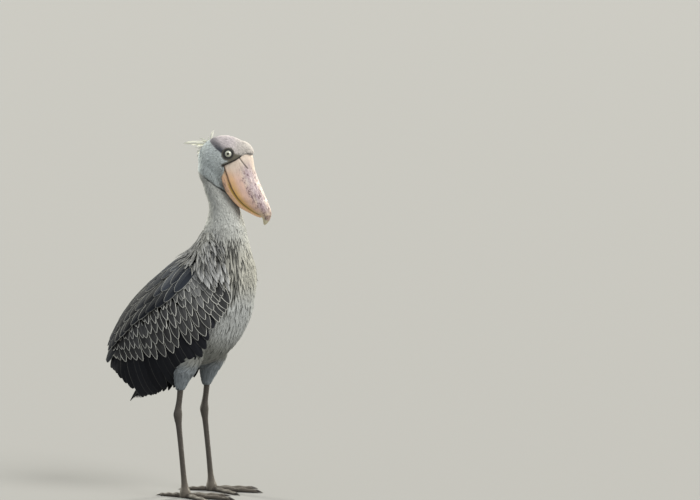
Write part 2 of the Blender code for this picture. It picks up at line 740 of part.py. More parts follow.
def build():
    """Every node of the bird."""
    upper, lower = upper_bill(), lower_bill()
    cut_clear(lower, upper)
    eyes = [eye("eye_right", -1), eye("eye_left", 1)]
    head, neck = head_and_neck(upper, lower, eyes)
    boolean(upper, [nostril_cutter(-1), nostril_cutter(1)], "DIFFERENCE")
    torso = clay("torso", TRUNK_TRIANGLES)
    boolean(torso, [slab("below", 0.2, NECK_CUT_LOW - GAP / 2)], "INTERSECT")
    tail_node = tail()
    cut_clear(tail_node, torso)
    nodes = [head, neck, torso, tail_node, upper, lower, *eyes]
    for word, side in (("right", -1), ("left", 1)):
        upper_leg = thigh(f"thigh_{word}", side)
        cut_clear(upper_leg, torso)
        folded = wing(f"wing_{word}", side)
        middle = box("middle", (-0.6, min(-GAP * side, side), 0.0), (0.6, max(-GAP * side, side), 1.0))
        boolean(folded, [middle], "INTERSECT")
        cut_clear(folded, torso, neck, upper_leg, tail_node)
        lower_leg = leg(f"leg_{word}", side)
        nodes += [upper_leg, folded, lower_leg]
        standing = [lower_leg]
        for label, heading, length, radius in TOES:
            digit = toe(f"toe_{label}_{word}", side, heading, length, radius)
            cut_clear(digit, *standing)
            standing.append(digit)
            nodes += [digit, claw(f"claw_{label}_{word}", side, heading, length, radius)]
    return nodes


FINISHES = (
    ("head", (0.42, 0.44, 0.47), 0.85),
    ("neck", (0.42, 0.44, 0.47), 0.85),
    ("torso", (0.48, 0.49, 0.50), 0.85),
    ("tail", (0.06, 0.07, 0.08), 0.65),
    ("bill_upper", (0.70, 0.55, 0.44), 0.45),
    ("bill_lower", (0.74, 0.50, 0.30), 0.45),
    ("eye", (0.75, 0.74, 0.62), 0.10),
    ("thigh", (0.44, 0.46, 0.49), 0.85),
    ("wing", (0.10, 0.11, 0.13), 0.70),
    ("leg", (0.10, 0.09, 0.08), 0.60),
    ("toe", (0.10, 0.09, 0.08), 0.60),
    ("claw", (0.05, 0.045, 0.04), 0.40),
)


def finish(nodes):
    """Gives each node its material, its collection and its place over the origin."""
    collection = bpy.data.collections.new("shoebill")
    bpy.context.scene.collection.children.link(collection)
    origin = bpy.data.objects.new("shoebill_origin", None)
    collection.objects.link(origin)
    origin.location = ORIGIN_SHIFT
    finishes = {name: material(name, colour, roughness) for name, colour, roughness in FINISHES}
    for node in nodes:
        for held in list(node.users_collection):
            held.objects.unlink(node)
        collection.objects.link(node)
        node.parent = origin
        node.data.materials.clear()
        kind = next(name for name in finishes if node.name.startswith(name))
        node.data.materials.append(finishes[kind])
        node.data.shade_smooth()
        node.data.set_sharp_from_angle(angle=math.radians(40))


def main():
    for obj in list(bpy.data.objects):
        bpy.data.objects.remove(obj)
    finish(build())


main()
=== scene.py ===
import math

import bpy
import numpy as np
from mathutils import Matrix, Vector
from mathutils.bvhtree import BVHTree


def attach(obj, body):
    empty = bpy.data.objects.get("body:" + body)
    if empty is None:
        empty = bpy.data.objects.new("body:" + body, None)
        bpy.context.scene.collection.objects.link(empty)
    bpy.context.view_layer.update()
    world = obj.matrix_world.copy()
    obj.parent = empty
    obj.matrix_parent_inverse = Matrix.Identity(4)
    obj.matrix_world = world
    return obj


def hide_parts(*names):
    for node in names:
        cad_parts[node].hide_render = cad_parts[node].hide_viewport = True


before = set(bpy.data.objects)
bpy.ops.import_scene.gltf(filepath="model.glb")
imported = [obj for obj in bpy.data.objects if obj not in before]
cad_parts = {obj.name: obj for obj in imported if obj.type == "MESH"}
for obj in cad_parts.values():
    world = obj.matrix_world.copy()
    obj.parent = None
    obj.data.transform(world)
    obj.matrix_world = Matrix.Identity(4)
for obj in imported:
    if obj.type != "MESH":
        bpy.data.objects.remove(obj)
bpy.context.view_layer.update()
RNG = np.random.default_rng(11)

# Named shapes of the bird, as in the part's own source, before the shift to the part's origin.
SHIFT = np.array((0.027, 0.0, 0.0))
HEAD_YAW = math.radians(3.0)
HEAD_PIVOT = 0.07
# Sections of the trunk, the bill and the wing: x and z of one edge, x and z of the other, half-width.
TRUNK_ROWS = (
    (0.022, 0.985, 0.104, 0.985, 0.040),
    (0.033, 0.945, 0.120, 0.940, 0.043),
    (0.044, 0.912, 0.141, 0.905, 0.046),
    (0.043, 0.880, 0.153, 0.872, 0.051),
    (0.030, 0.836, 0.164, 0.834, 0.061),
    (0.014, 0.797, 0.175, 0.786, 0.072),
    (-0.010, 0.756, 0.187, 0.735, 0.083),
    (-0.042, 0.716, 0.195, 0.680, 0.093),
    (-0.074, 0.676, 0.191, 0.615, 0.101),
    (-0.101, 0.634, 0.174, 0.550, 0.105),
    (-0.123, 0.587, 0.139, 0.487, 0.103),
    (-0.138, 0.538, 0.086, 0.434, 0.093),
    (-0.150, 0.495, 0.018, 0.406, 0.078),
    (-0.158, 0.455, -0.055, 0.402, 0.052),
    (-0.163, 0.428, -0.110, 0.398, 0.030),
)
# Masses of the head: x, z, half-length, half-height, half-width, tilt in degrees.
HEAD_MASSES = (
    (0.098, 1.046, 0.088, 0.078, 0.055, -6.0),
    (0.148, 1.069, 0.043, 0.040, 0.036, -20.0),
    (0.066, 1.016, 0.056, 0.062, 0.048, 8.0),
    (0.112, 1.030, 0.040, 0.034, 0.052, -30.0),
)
UPPER_ROWS = (
    (0.1690, 1.0790, 0.1150, 1.0640, 0.030),
    (0.1785, 1.0745, 0.1055, 1.0540, 0.0415),
    (0.1820, 1.0680, 0.1015, 1.0455, 0.0440),
    (0.1852, 1.0540, 0.1080, 1.0310, 0.047),
    (0.1905, 1.0225, 0.1185, 1.0065, 0.051),
    (0.2002, 0.9936, 0.1290, 0.9790, 0.053),
    (0.2125, 0.9650, 0.1410, 0.9525, 0.051),
    (0.2260, 0.9350, 0.1560, 0.9295, 0.046),
    (0.2380, 0.9090, 0.1740, 0.9090, 0.037),
    (0.2452, 0.8860, 0.1975, 0.8910, 0.025),
    (0.2425, 0.8690, 0.2150, 0.8800, 0.014),
    (0.2345, 0.8560, 0.2215, 0.8680, 0.0075),
    (0.2260, 0.8485, 0.2225, 0.8530, 0.0025),
)
LOWER_ROWS = (
    (0.1060, 1.0290, 0.0960, 1.0200, 0.043),
    (0.1175, 1.0045, 0.0950, 0.9985, 0.047),
    (0.1278, 0.9775, 0.0995, 0.9745, 0.048),
    (0.1398, 0.9510, 0.1100, 0.9500, 0.046),
    (0.1548, 0.9280, 0.1275, 0.9260, 0.040),
    (0.1728, 0.9078, 0.1500, 0.9030, 0.031),
    (0.1962, 0.8898, 0.1760, 0.8875, 0.020),
    (0.2115, 0.8800, 0.2010, 0.8750, 0.010),
    (0.2170, 0.8762, 0.2130, 0.8715, 0.004),
)
EYE_AT = (0.1225, 1.0690)
EYE_OUT = 0.0400
EYE_RADIUS = 0.0135
WING_ROWS = (
    (0.015, 0.775, 0.203, 0.668, 0.108),
    (-0.052, 0.732, 0.182, 0.545, 0.138),
    (-0.115, 0.682, 0.112, 0.432, 0.147),
    (-0.175, 0.628, 0.022, 0.360, 0.143),
    (-0.222, 0.572, -0.062, 0.312, 0.128),
    (-0.258, 0.515, -0.134, 0.286, 0.107),
    (-0.283, 0.462, -0.196, 0.284, 0.082),
    (-0.302, 0.415, -0.250, 0.315, 0.050),
)
# How far round the folded wing its arm reaches: row, degrees from the back.
CORE_END = ((0.0, 114.0), (1.0, 113.0), (2.0, 108.0), (3.0, 97.0), (4.4, 80.0), (5.8, 56.0))
TAIL_ROOT = np.array((-0.128, 0.0, 0.452))
TAIL_TIP = np.array((-0.214, 0.0, 0.293))
# Sections of a thigh: x, z, half-length, half-width.
THIGH_ROWS = (
    (0.014, 0.470, 0.040, 0.026),
    (0.008, 0.430, 0.044, 0.032),
    (-0.006, 0.397, 0.037, 0.030),
    (-0.017, 0.362, 0.025, 0.021),
    (-0.022, 0.333, 0.0135, 0.0125),
)
THIGH_Y = 0.076
FOOT_Y = 0.082
FOOT_X = -0.0060
# Toes: name, heading in degrees inwards from straight ahead, length, radius.
TOES = (
    ("middle", -2.0, 0.150, 0.0088),
    ("inner", 30.0, 0.122, 0.0082),
    ("outer", -34.0, 0.128, 0.0082),
    ("hind", 171.0, 0.086, 0.0076),
)
SIDES = (("right", -1), ("left", 1))
# How far ahead the leg of each side stands.
AHEAD = {-1: 0.0, 1: 0.022}


# Small tools

# Size of the small ring that closes a tube, as a share of its end ring.
CAP_SHARE = 0.02


def through(rows, at):
    """The rows of numbers joined by a smooth curve, read at the places `at`, counted in rows."""
    rows = np.asarray(rows, float)
    ends = np.vstack([2 * rows[0] - rows[1], rows, 2 * rows[-1] - rows[-2]])
    at = np.clip(np.asarray(at, float), 0, len(rows) - 1)
    first = np.minimum(at.astype(int), len(rows) - 2)
    t = (at - first)[..., None]
    a, b, c, d = (ends[first + k] for k in range(4))
    bend, twist = 2 * a - 5 * b + 4 * c - d, 3 * b - a - 3 * c + d
    return 0.5 * (2 * b + (c - a) * t + bend * t**2 + twist * t**3)


def unit(v):
    return v / np.maximum(np.linalg.norm(v, axis=-1, keepdims=True), 1e-9)


def step(x, low, high):
    """A smooth step from 0 at low to 1 at high."""
    t = np.clip((x - low) / (high - low), 0, 1)
    return t * t * (3 - 2 * t)


def mix(a, b, t):
    return np.asarray(a) + (np.asarray(b) - np.asarray(a)) * np.asarray(t)[..., None]


def mixed(colour, *layers):
    """A colour with others laid over it in turn, each with its share."""
    for other, share in layers:
        colour = mix(colour, other, share)
    return colour


def circle(count):
    """Angles round a whole turn."""
    return np.linspace(0, 2 * math.pi, count, endpoint=False)


def along_rows(rows, count):
    """Rows read at even steps from the first to the last."""
    return through(rows, np.linspace(0, len(rows) - 1, count))


def across(columns, share):
    """The x and z of places part of the way from one edge to the other, from columns x, z, x, z."""
    return (columns[0] + (columns[2] - columns[0]) * share, columns[1] + (columns[3] - columns[1]) * share)


def triples(*values):
    """Three numbers for each place, from arrays that spread to one shape."""
    return np.stack(np.broadcast_arrays(*values), -1)


def spots(centre, *ways):
    """Points from a centre, moved by each pair of a direction and distances along it."""
    for way, far in ways:
        centre = centre + way * np.asarray(far)[..., None]
    return centre


def in_head(x, z, side):
    """Points from the head's own plane, turned with the head about the top of the neck."""
    along = np.asarray(x) - HEAD_PIVOT
    return triples(HEAD_PIVOT + along * math.cos(HEAD_YAW) - side * math.sin(HEAD_YAW),
                   along * math.sin(HEAD_YAW) + side * math.cos(HEAD_YAW), z)


def head_way(x, z, side):
    """A direction of the head's own plane, turned with the head."""
    return in_head(x + HEAD_PIVOT, z, side) - np.array((HEAD_PIVOT, 0, 0))


def head_plane(p):
    """Points as x, z and side in the head's own plane."""
    x, y = p[..., 0] - HEAD_PIVOT, p[..., 1]
    return (HEAD_PIVOT + x * math.cos(HEAD_YAW) + y * math.sin(HEAD_YAW), p[..., 2],
            y * math.cos(HEAD_YAW) - x * math.sin(HEAD_YAW))


def from_segment(x, z, a, b):
    """Distance of points from a segment of a plane, and which side of it they are on."""
    dx, dz = b[0] - a[0], b[1] - a[1]
    t = np.clip(((x - a[0]) * dx + (z - a[1]) * dz) / max(dx * dx + dz * dz, 1e-9), 0, 1)
    gap = np.hypot(x - a[0] - t * dx, z - a[1] - t * dz)
    return gap, np.sign(dx * (z - a[1]) - dz * (x - a[0]))


def from_line(x, z, points):
    """Distance of points from a line through a few places of a plane, signed above or below it."""
    found = [from_segment(x, z, a, b) for a, b in zip(points[:-1], points[1:])]
    gaps, sides = (np.array(part) for part in zip(*found))
    return np.take_along_axis(gaps * sides, gaps.argmin(axis=0)[None], 0)[0]


def link(name, data):
    """A new object in the scene."""
    made = bpy.data.objects.new(name, data)
    bpy.context.scene.collection.objects.link(made)
    return made


def mesh_piece(name, points, faces, smooth=True, shifted=True):
    """A mesh object in the scene from arrays of points and of faces with one count of corners."""
    points = np.asarray(points, float).reshape(-1, 3) + (SHIFT if shifted else 0)
    faces = np.ascontiguousarray(faces, np.int32)
    mesh = bpy.data.meshes.new(name)
    mesh.vertices.add(len(points))
    mesh.vertices.foreach_set("co", points.astype(np.float32).ravel())
    mesh.loops.add(faces.size)
    mesh.loops.foreach_set("vertex_index", faces.ravel())
    mesh.polygons.add(len(faces))
    mesh.polygons.foreach_set("loop_start", np.arange(0, faces.size, faces.shape[1], dtype=np.int32))
    mesh.update(calc_edges=True)
    mesh.validate()
    if smooth:
        mesh.shade_smooth()
    return link(name, mesh)


def set_attribute(mesh, name, kind, values):
    """Stores numbers at the points of a mesh for its material to read."""
    made = mesh.attributes.new(name, kind, "POINT")
    key = "color" if kind == "FLOAT_COLOR" else "vector"
    made.data.foreach_set(key, np.ascontiguousarray(values, np.float32).ravel())


def for_points(values, count):
    """Three numbers for each point of a piece, from one triple, from rings of them, or as they are."""
    values = np.asarray(values, float)
    if values.ndim == 1:
        return np.tile(values, (count, 1))
    if values.ndim == 3:
        values = np.concatenate([values[:1], values, values[-1:]])
    return values.reshape(-1, 3)


def dress(piece, material, slot, *nodes, tint=(1, 1, 1), kind=(0, 0, 0)):
    """Sets a piece on the body in place of the CAD nodes named, with its colours and material."""
    count = len(piece.data.vertices)
    rgba = np.concatenate([np.clip(for_points(tint, count), 0, 1), np.ones((count, 1))], 1)
    set_attribute(piece.data, "tint", "FLOAT_COLOR", rgba)
    set_attribute(piece.data, "kind", "FLOAT_VECTOR", for_points(kind, count))
    piece.data.materials.append(material)
    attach(piece, "root")
    if nodes:
        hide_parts(*nodes)


def grid_faces(rows, columns, wrap=False):
    """Quads over a grid of points, closed round where wrap is set."""
    r, c = np.meshgrid(np.arange(rows - 1), np.arange(columns if wrap else columns - 1), indexing="ij")
    r, c = r.ravel(), c.ravel()
    near = (c + 1) % columns
    here, after = r * columns, (r + 1) * columns
    return np.stack([here + c, here + near, after + near, after + c], 1)


def closed_piece(name, points, faces, shifted=True):
    """A mesh object with its faces turned outwards."""
    points = points.reshape(-1, 3)
    a, b, c = (points[faces[:, k]] - points.mean(axis=0) for k in range(3))
    if (a * np.cross(b, c)).sum() < 0:
        faces = faces[:, [0, 3, 2, 1]]
    return mesh_piece(name, points, faces, shifted=shifted)


def tube(name, rings, shifted=True):
    """A closed smooth skin over rings of points, with its ends drawn in."""
    rings = np.asarray(rings)
    caps = [ring.mean(axis=0) + (ring - ring.mean(axis=0)) * CAP_SHARE for ring in (rings[0], rings[-1])]
    rings = np.concatenate([caps[:1], rings, caps[1:]])
    return closed_piece(name, rings, grid_faces(len(rings), rings.shape[1], True), shifted)


# Materials

class Graph:
    """A material's nodes, added one at a time."""

    def __init__(self, name):
        self.material = bpy.data.materials.new(name)
        self.material.use_nodes = True
        self.tree = self.material.node_tree
        self.shader = self.tree.nodes["Principled BSDF"]

    def add(self, kind, settings=None, **inputs):
        node = self.tree.nodes.new("ShaderNode" + kind)
        for key, value in (settings or {}).items():
            setattr(node, key, value)
        for key, value in inputs.items():
            self.put(node, key, value)
        return node

    def put(self, node, key, value):
        """Links or sets a socket, named, or counted as in i0. Colours come without their alpha."""
        if key[0] == "i" and key[1:].isdigit():
            socket = node.inputs[int(key[1:])]
        else:
            socket = next(s for s in node.inputs if s.name.replace(" ", "_") == key and s.enabled)
        if isinstance(value, bpy.types.NodeSocket):
            self.tree.links.new(value, socket)
        else:
            socket.default_value = (*value, 1) if socket.type == "RGBA" else value

    def math(self, operation, a, b=0.0, clamp=False):
        return self.add("Math", {"operation": operation, "use_clamp": clamp}, i0=a, i1=b).outputs[0]

    def times(self, *factors):
        found = factors[0]
        for factor in factors[1:]:
            found = self.math("MULTIPLY", found, factor)
        return found

    def plus(self, a, b):
        return self.math("ADD", a, b)

    def between(self, value, low, high, to_low=0.0, to_high=1.0):
        node = self.add("MapRange", {"interpolation_type": "SMOOTHSTEP"})
        for key, number in enumerate((value, low, high, to_low, to_high)):
            self.put(node, f"i{key}", number)
        return node.outputs[0]

    def blend(self, factor, a, b, mode="MIX"):
        return self.add("Mix", {"data_type": "RGBA", "blend_type": mode}, i0=factor, i6=a, i7=b).outputs[2]

    def over(self, colour, *layers):
        """A colour with others laid over it in turn, each with its share."""
        for share, other in layers:
            colour = self.blend(share, colour, other)
        return colour

    def noise(self, scale, detail=2.0, vector=None, roughness=0.5):
        node = self.add("TexNoise", None, Scale=scale, Detail=detail, Roughness=roughness)
        self.put(node, "Vector", vector or self.place())
        return node.outputs[0]

    def cells(self, scale):
        """Distances from the borders of cells of a scale."""
        node = self.add("TexVoronoi", {"feature": "DISTANCE_TO_EDGE"}, Scale=scale, Vector=self.place())
        return node.outputs[0]

    def attribute(self, name, output=1):
        return self.add("Attribute", {"attribute_name": name}).outputs[output]

    def tint(self):
        return self.attribute("tint", 0)

    def kind(self):
        return self.split(self.attribute("kind"))

    def split(self, vector):
        return self.add("SeparateXYZ", None, Vector=vector).outputs

    def place(self):
        return self.add("TexCoord").outputs["Object"]

    def bump(self, height, strength=0.3, distance=0.001):
        return self.add("Bump", None, Height=height, Strength=strength, Distance=distance).outputs[0]

    def finish(self, colour, roughness, normal=None, **constants):
        self.put(self.shader, "Base_Color", colour)
        self.put(self.shader, "Roughness", roughness)
        if normal is not None:
            self.put(self.shader, "Normal", normal)
        for key, value in constants.items():
            self.shader.inputs[key.replace("_", " ")].default_value = value
        return self.material


def plumage(name, rough, fringe_colour, fringe_width, barb, gloss):
    """Feathers: barbs that slant from the shaft, a pale fringe, a shaft line, and the coat's markings."""
    g = Graph(name)
    across_vane, along, edge = g.split(g.attribute("vane"))
    tone, fringe, shaft = g.kind()
    out = g.math("ABSOLUTE", across_vane)
    slant = g.math("SUBTRACT", along, g.times(out, 1.1))
    wave = g.math("SINE", g.plus(g.times(slant, 2 * math.pi / barb), g.times(g.noise(420.0), 5.0)))
    ragged = g.plus(edge, g.times(wave, 0.00022))
    rim = g.math("MULTIPLY", g.between(ragged, fringe_width, fringe_width * 0.35), fringe, True)
    line = g.math("MULTIPLY", g.between(out, 0.0009, 0.0003), shaft, True)
    lit = g.blend(g.plus(0.5, g.times(wave, 0.10)), (0.55, 0.55, 0.57), (1.35, 1.35, 1.33))
    colour = g.blend(1.0, g.tint(), lit, "MULTIPLY")
    mottle = g.times(g.between(g.noise(90.0, 3.0), 0.3, 0.7), 0.25)
    colour = g.blend(mottle, colour, (0.5, 0.5, 0.5), "SOFT_LIGHT")
    colour = g.over(colour, (rim, fringe_colour), (line, (0.02, 0.02, 0.022)))
    roughness = g.between(tone, 0.0, 1.0, rough - 0.06, rough + 0.06)
    return g.finish(colour, roughness, g.bump(wave, 0.20, 0.0003), Specular_IOR_Level=gloss)


def skin_material():
    """Skin between the feathers, and the bare skin round the eye and the bill's base."""
    g = Graph("skin")
    bare = g.kind()[0]
    creases = g.noise(160.0, 4.0)
    colour = g.blend(1.0, g.tint(), g.blend(bare, (0.55, 0.55, 0.56), (1, 1, 1)), "MULTIPLY")
    colour = g.blend(g.times(g.between(creases, 0.35, 0.65), 0.3), colour, (0.05, 0.045, 0.04))
    height = g.plus(g.between(g.cells(420.0), 0.0, 0.10), creases)
    return g.finish(colour, g.between(bare, 0.0, 1.0, 0.9, 0.55), g.bump(height, 0.5, 0.0006))


def bill_material():
    """Horn in cream and peach with mauve and brown blotches and streaks along the bill, and painted shade
    in the nostril slits.
    """
    g = Graph("bill_horn")
    blotch, streak, dark = g.kind()
    at = g.place()
    swirl = g.add("TexNoise", None, Vector=at, Scale=70.0, Detail=3.0).outputs[1]
    shift = g.add("VectorMath", {"operation": "MULTIPLY_ADD"}, i0=swirl, i1=(0.010, 0.010, 0.010), i2=at)

    def along_bill(wide, long, detail, rough, low, high):
        turned = g.add("Mapping", {"vector_type": "TEXTURE"}, Vector=shift.outputs[0],
                       Rotation=(0.0, math.radians(-23.0), 0.0), Scale=(wide, wide, long)).outputs[0]
        return g.between(g.noise(1.0, detail, turned, rough), low, high)

    cluster = along_bill(0.016, 0.026, 2.0, 0.5, 0.40, 0.58)
    spotted = along_bill(0.0042, 0.0085, 3.0, 0.6, 0.505, 0.550)
    specks = along_bill(0.0018, 0.0035, 2.0, 0.6, 0.58, 0.64)
    streaks = along_bill(0.0020, 0.030, 4.0, 0.6, 0.44, 0.64)
    colour = g.over(
        g.tint(),
        (g.times(cluster, blotch, 0.55), (0.30, 0.205, 0.255)),
        (g.times(spotted, g.plus(g.times(cluster, 0.8), 0.2), blotch, 0.92), (0.085, 0.048, 0.060)),
        (g.times(specks, blotch, 0.6), (0.14, 0.085, 0.085)),
        (g.times(streaks, streak, 0.50), (0.36, 0.235, 0.16)),
        # Painted shade: near black in the nostril slits.
        (dark, (0.030, 0.018, 0.013)))
    height = g.plus(g.times(streaks, 0.8), g.times(spotted, -0.3))
    rough = g.between(cluster, 0.0, 1.0, 0.38, 0.52)
    return g.finish(colour, rough, g.bump(height, 0.45, 0.0007), Coat_Weight=0.12, Coat_Roughness=0.35)


def eye_material():
    """Pale iris with fine rays, a black pupil and a dark rim."""
    g = Graph("eye")
    out, around, _ = g.kind()
    turned = g.times(around, 14.0)
    rays = g.add("TexNoise", {"noise_dimensions": "1D"}, W=turned, Scale=1.0, Detail=3.0).outputs[0]
    iris = g.blend(g.between(out, 0.30, 0.72), (0.56, 0.56, 0.42), (0.50, 0.52, 0.46))
    colour = g.over(
        iris,
        (g.times(g.between(rays, 0.40, 0.65), 0.28), (0.30, 0.30, 0.24)),
        (g.between(out, 0.66, 0.80), (0.05, 0.05, 0.045)),
        (g.between(out, 0.305, 0.280), (0.004, 0.004, 0.005)))
    return g.finish(colour, 0.12, None, Coat_Weight=1.0, Coat_Roughness=0.02)


def scale_material():
    """Dry dark scales of the legs and toes."""
    g = Graph("scaled_skin")
    dust, seam, _ = g.kind()
    tone = g.add("TexVoronoi", None, Scale=320.0, Vector=g.place()).outputs[1]
    joint = g.between(g.cells(320.0), 0.0, 0.09)
    base = g.blend(g.noise(60.0, 3.0), (0.034, 0.029, 0.024), (0.078, 0.066, 0.053))
    base = g.blend(g.times(g.split(tone)[0], 0.20), base, (0.11, 0.098, 0.080))
    colour = g.over(
        g.blend(joint, (0.020, 0.017, 0.015), base),
        (g.times(seam, 0.8), (0.018, 0.015, 0.013)),
        (g.times(dust, 0.35), (0.20, 0.17, 0.13)))
    return g.finish(colour, 0.62, g.bump(joint, 0.6, 0.0006))


def claw_material():
    """Dark horn, paler and worn towards the point."""
    g = Graph("claw_horn")
    streaks = g.noise(300.0, 4.0)
    colour = g.blend(g.between(g.kind()[0], 0.5, 1.0), (0.030, 0.026, 0.023), (0.13, 0.11, 0.085))
    colour = g.blend(g.times(streaks, 0.3), colour, (0.10, 0.085, 0.07))
    return g.finish(colour, 0.38, g.bump(streaks, 0.2, 0.0004))


# Markings

CHEEK = (0.46, 0.505, 0.51)
CROWN = (0.52, 0.475, 0.485)
FOREHEAD = (0.55, 0.515, 0.48)
# Painted shadow: a near-black band along the crown's lower edge behind the eye.
BROW_SHADOW = (0.044, 0.051, 0.065)
BARE = (0.095, 0.085, 0.058)
NECK = (0.43, 0.44, 0.42)
MANTLE = (0.115, 0.118, 0.126)
BREAST = (0.345, 0.34, 0.30)
BELLY = (0.40, 0.415, 0.41)
UNDER = (0.20, 0.205, 0.19)
VENT = (0.16, 0.17, 0.175)
THIGH = (0.20, 0.225, 0.245)
WEDGE_LINE = ((0.050, 1.112), (0.0593, 1.1039), (0.0807, 1.0866), (0.1022, 1.072), (0.1225, 1.064))
HOOD_LINE = ((0.0386, 0.9989), (0.0623, 0.9827), (0.0816, 0.968), (0.0931, 0.9617), (0.110, 0.948))
HORN_LINE = (
    (0.1110, 1.0345), (0.1316, 1.0440), (0.1459, 1.0509), (0.1553, 1.0572), (0.1700, 1.0690),
    (0.1790, 1.0700), (0.1870, 1.0650))
GAPE = (0.1095, 1.0345)
PALE_FOLD = (0.30, 0.29, 0.24)
NEAR_BLACK = (0.014, 0.013, 0.012)
# Bare skin: segments of the head's plane, and how far the skin is bare round each.
BARE_PARTS = (
    (EYE_AT, EYE_AT, 0.0195),
    ((0.1225, 1.0670), (0.1560, 1.0600), 0.0075),
    ((0.1316, 1.0440), (0.1459, 1.0509), 0.0095),
    ((0.1316, 1.0440), (0.1080, 1.0345), 0.0050),
)


def bare_skin(p):
    """How bare the head is at each point, round the eye, before it and down to the gape."""
    x, z, side = head_plane(p)
    found = np.zeros(np.shape(x))
    for a, b, reach in BARE_PARTS:
        found = np.maximum(found, 1 - step(from_segment(x, z, a, b)[0], reach - 0.0015, reach + 0.0020))
    return found * step(np.abs(side), 0.020, 0.028)


def trunk_place(p):
    """Where points are on the trunk: along it in rows, and their share of the way from back to front."""
    at = np.linspace(0, len(TRUNK_ROWS) - 1, 141)
    rows = through(TRUNK_ROWS, at)
    back, front = rows[:, 0:2], rows[:, 2:4]
    way = unit(front - back)
    x, z = p[:, 0:1], p[:, 2:3]
    off = np.abs(way[:, 0] * (z - back[:, 1]) - way[:, 1] * (x - back[:, 0]))
    middle = (back + front) / 2
    off = off + 0.03 * np.hypot(x - middle[:, 0], z - middle[:, 1])
    best = off.argmin(axis=1)
    span = np.linalg.norm(front - back, axis=1)[best]
    share = ((x[:, 0] - back[best, 0]) * way[best, 0] + (z[:, 0] - back[best, 1]) * way[best, 1]) / span
    return at[best], np.clip(share, 0, 1)


def thigh_share(p):
    """How much of each point belongs to a thigh."""
    low = step(-p[:, 2], -0.425, -0.395)
    return low * step(np.abs(p[:, 1]), 0.030, 0.045) * step(p[:, 0], -0.075, -0.055)


def marking(p):
    """The coat's colour at each point, the same on skin and feathers."""
    x, z, _ = head_plane(p)
    t, share = trunk_place(p)
    above, hood = from_line(x, z, WEDGE_LINE), from_line(x, z, HOOD_LINE)
    # Painted shadow along the crown's lower edge, from the back of the head to the eye.
    brow_shadow = (1 - step(above, 0.004, 0.030)) * (1 - step(x, 0.130, 0.156)) * step(x, 0.046, 0.060)
    crown = mixed(
        CROWN,
        (FOREHEAD, step(x, 0.120, 0.165)),
        (BROW_SHADOW, brow_shadow * (0.72 + 0.26 * step(x, 0.060, 0.100))))
    head = mixed(
        CHEEK,
        (crown, step(above, -0.0025, 0.0015) * step(x, 0.040, 0.060) * step(z, 1.055, 1.066)),
        # Painted rim light: the back of the head is paler.
        (np.array(CHEEK) * 1.22, 1 - step(x, 0.012, 0.050)),
        # Painted shade round the base of the lower bill: the lower front of the head is darker.
        (np.array(CHEEK) * 0.78, step(x, 0.075, 0.100) * (1 - step(z, 1.02, 1.06)) * 0.7))
    colour = mixed(
        NECK,
        (np.array(NECK) * 1.14, step(share, 0.55, 0.95)),
        (head, step(hood, -0.004, 0.004) * step(z, 0.945, 0.965)))
    # Painted shadow: a thin line along the hood's fold behind the cheek, darkened to about a quarter.
    fold = (1 - step(np.abs(hood + 0.001), 0.0010, 0.0030)) * step(z, 0.945, 0.955) * step(x, 0.034, 0.050)
    return mixed(
        colour,
        (colour * 0.24, fold),
        (MANTLE, step(t, 3.4, 6.0) * (1 - step(share, 0.42, 0.80))),
        (BREAST, step(t, 3.8, 6.0) * step(share, 0.42, 0.85)),
        (BELLY, step(t, 7.0, 8.6) * step(share, 0.25, 0.45)),
        (UNDER, step(t, 9.6, 10.8)),
        (VENT, step(t, 11.2, 13.0)),
        (THIGH, thigh_share(p)),
        (bare_colour(x, z), bare_skin(p)))


def bare_colour(x, z):
    """Olive skin, near black round the eye, along the bill's edge and at the gape, with a paler fold."""
    eye = np.hypot(x - EYE_AT[0], z - EYE_AT[1])
    gape = np.hypot(x - GAPE[0], z - GAPE[1])
    angle = np.degrees(np.arctan2(z - EYE_AT[1], x - EYE_AT[0]))
    pale = np.exp(-((eye - 0.0225) / 0.0020) ** 2) * step(-np.abs(angle + 125), -55, -30)
    far = np.minimum(step(eye, 0.0155, 0.0185), step(from_line(x, z, HORN_LINE), 0.0010, 0.0035))
    far = np.minimum(far, step(gape, 0.0030, 0.0060))
    return mixed(BARE, (PALE_FOLD, pale), (NEAR_BLACK, (1 - far) * (1 - pale)))


def coat_depth(p):
    """How deep the feathers lie over the skin at each point."""
    t = trunk_place(p)[0]
    depth = 0.0024 + 0.0022 * step(t, 0.3, 3.0) + 0.0030 * step(t, 3.5, 6.5)
    depth = depth - 0.0020 * thigh_share(p)
    return depth * (1 - bare_skin(p)) + 0.0002


# Skin

# Grid step at which the masses melt into one skin.
VOXEL = 0.0034


def oval_rings(rows, steps, sides):
    """Rings of the trunk, each an oval between its back and front."""
    turns = circle(sides)
    found = along_rows(rows, (len(rows) - 1) * steps + 1)
    x, z = across(found.T[..., None], (1 - np.cos(turns)) / 2)
    return triples(x, found[:, 4:5] * np.sin(turns), z)


def head_ball(x, z, long, high, wide, tilt):
    """One rounded mass of the head, as rings."""
    up, turns = np.linspace(0.02, math.pi - 0.02, 28)[:, None], circle(40)[None]
    a, s, u = np.sin(up) * np.cos(turns) * long, np.sin(up) * np.sin(turns) * wide, np.cos(up) * high
    cosine, sine = math.cos(math.radians(tilt)), math.sin(math.radians(tilt))
    return in_head(x + a * cosine - u * sine, z + a * sine + u * cosine, s)


def hip_y(z):
    """How far from the middle a thigh's own middle is at a height."""
    return THIGH_Y + (THIGH_ROWS[0][1] - z) * 0.04


def thigh_rings(side):
    turns = circle(36)
    rows = along_rows(THIGH_ROWS, 24)
    x = rows[:, 0:1] + AHEAD[side] + rows[:, 2:3] * np.cos(turns)
    y = side * hip_y(rows[:, 1:2]) + rows[:, 3:4] * np.sin(turns)
    return triples(x, y, rows[:, 1:2])


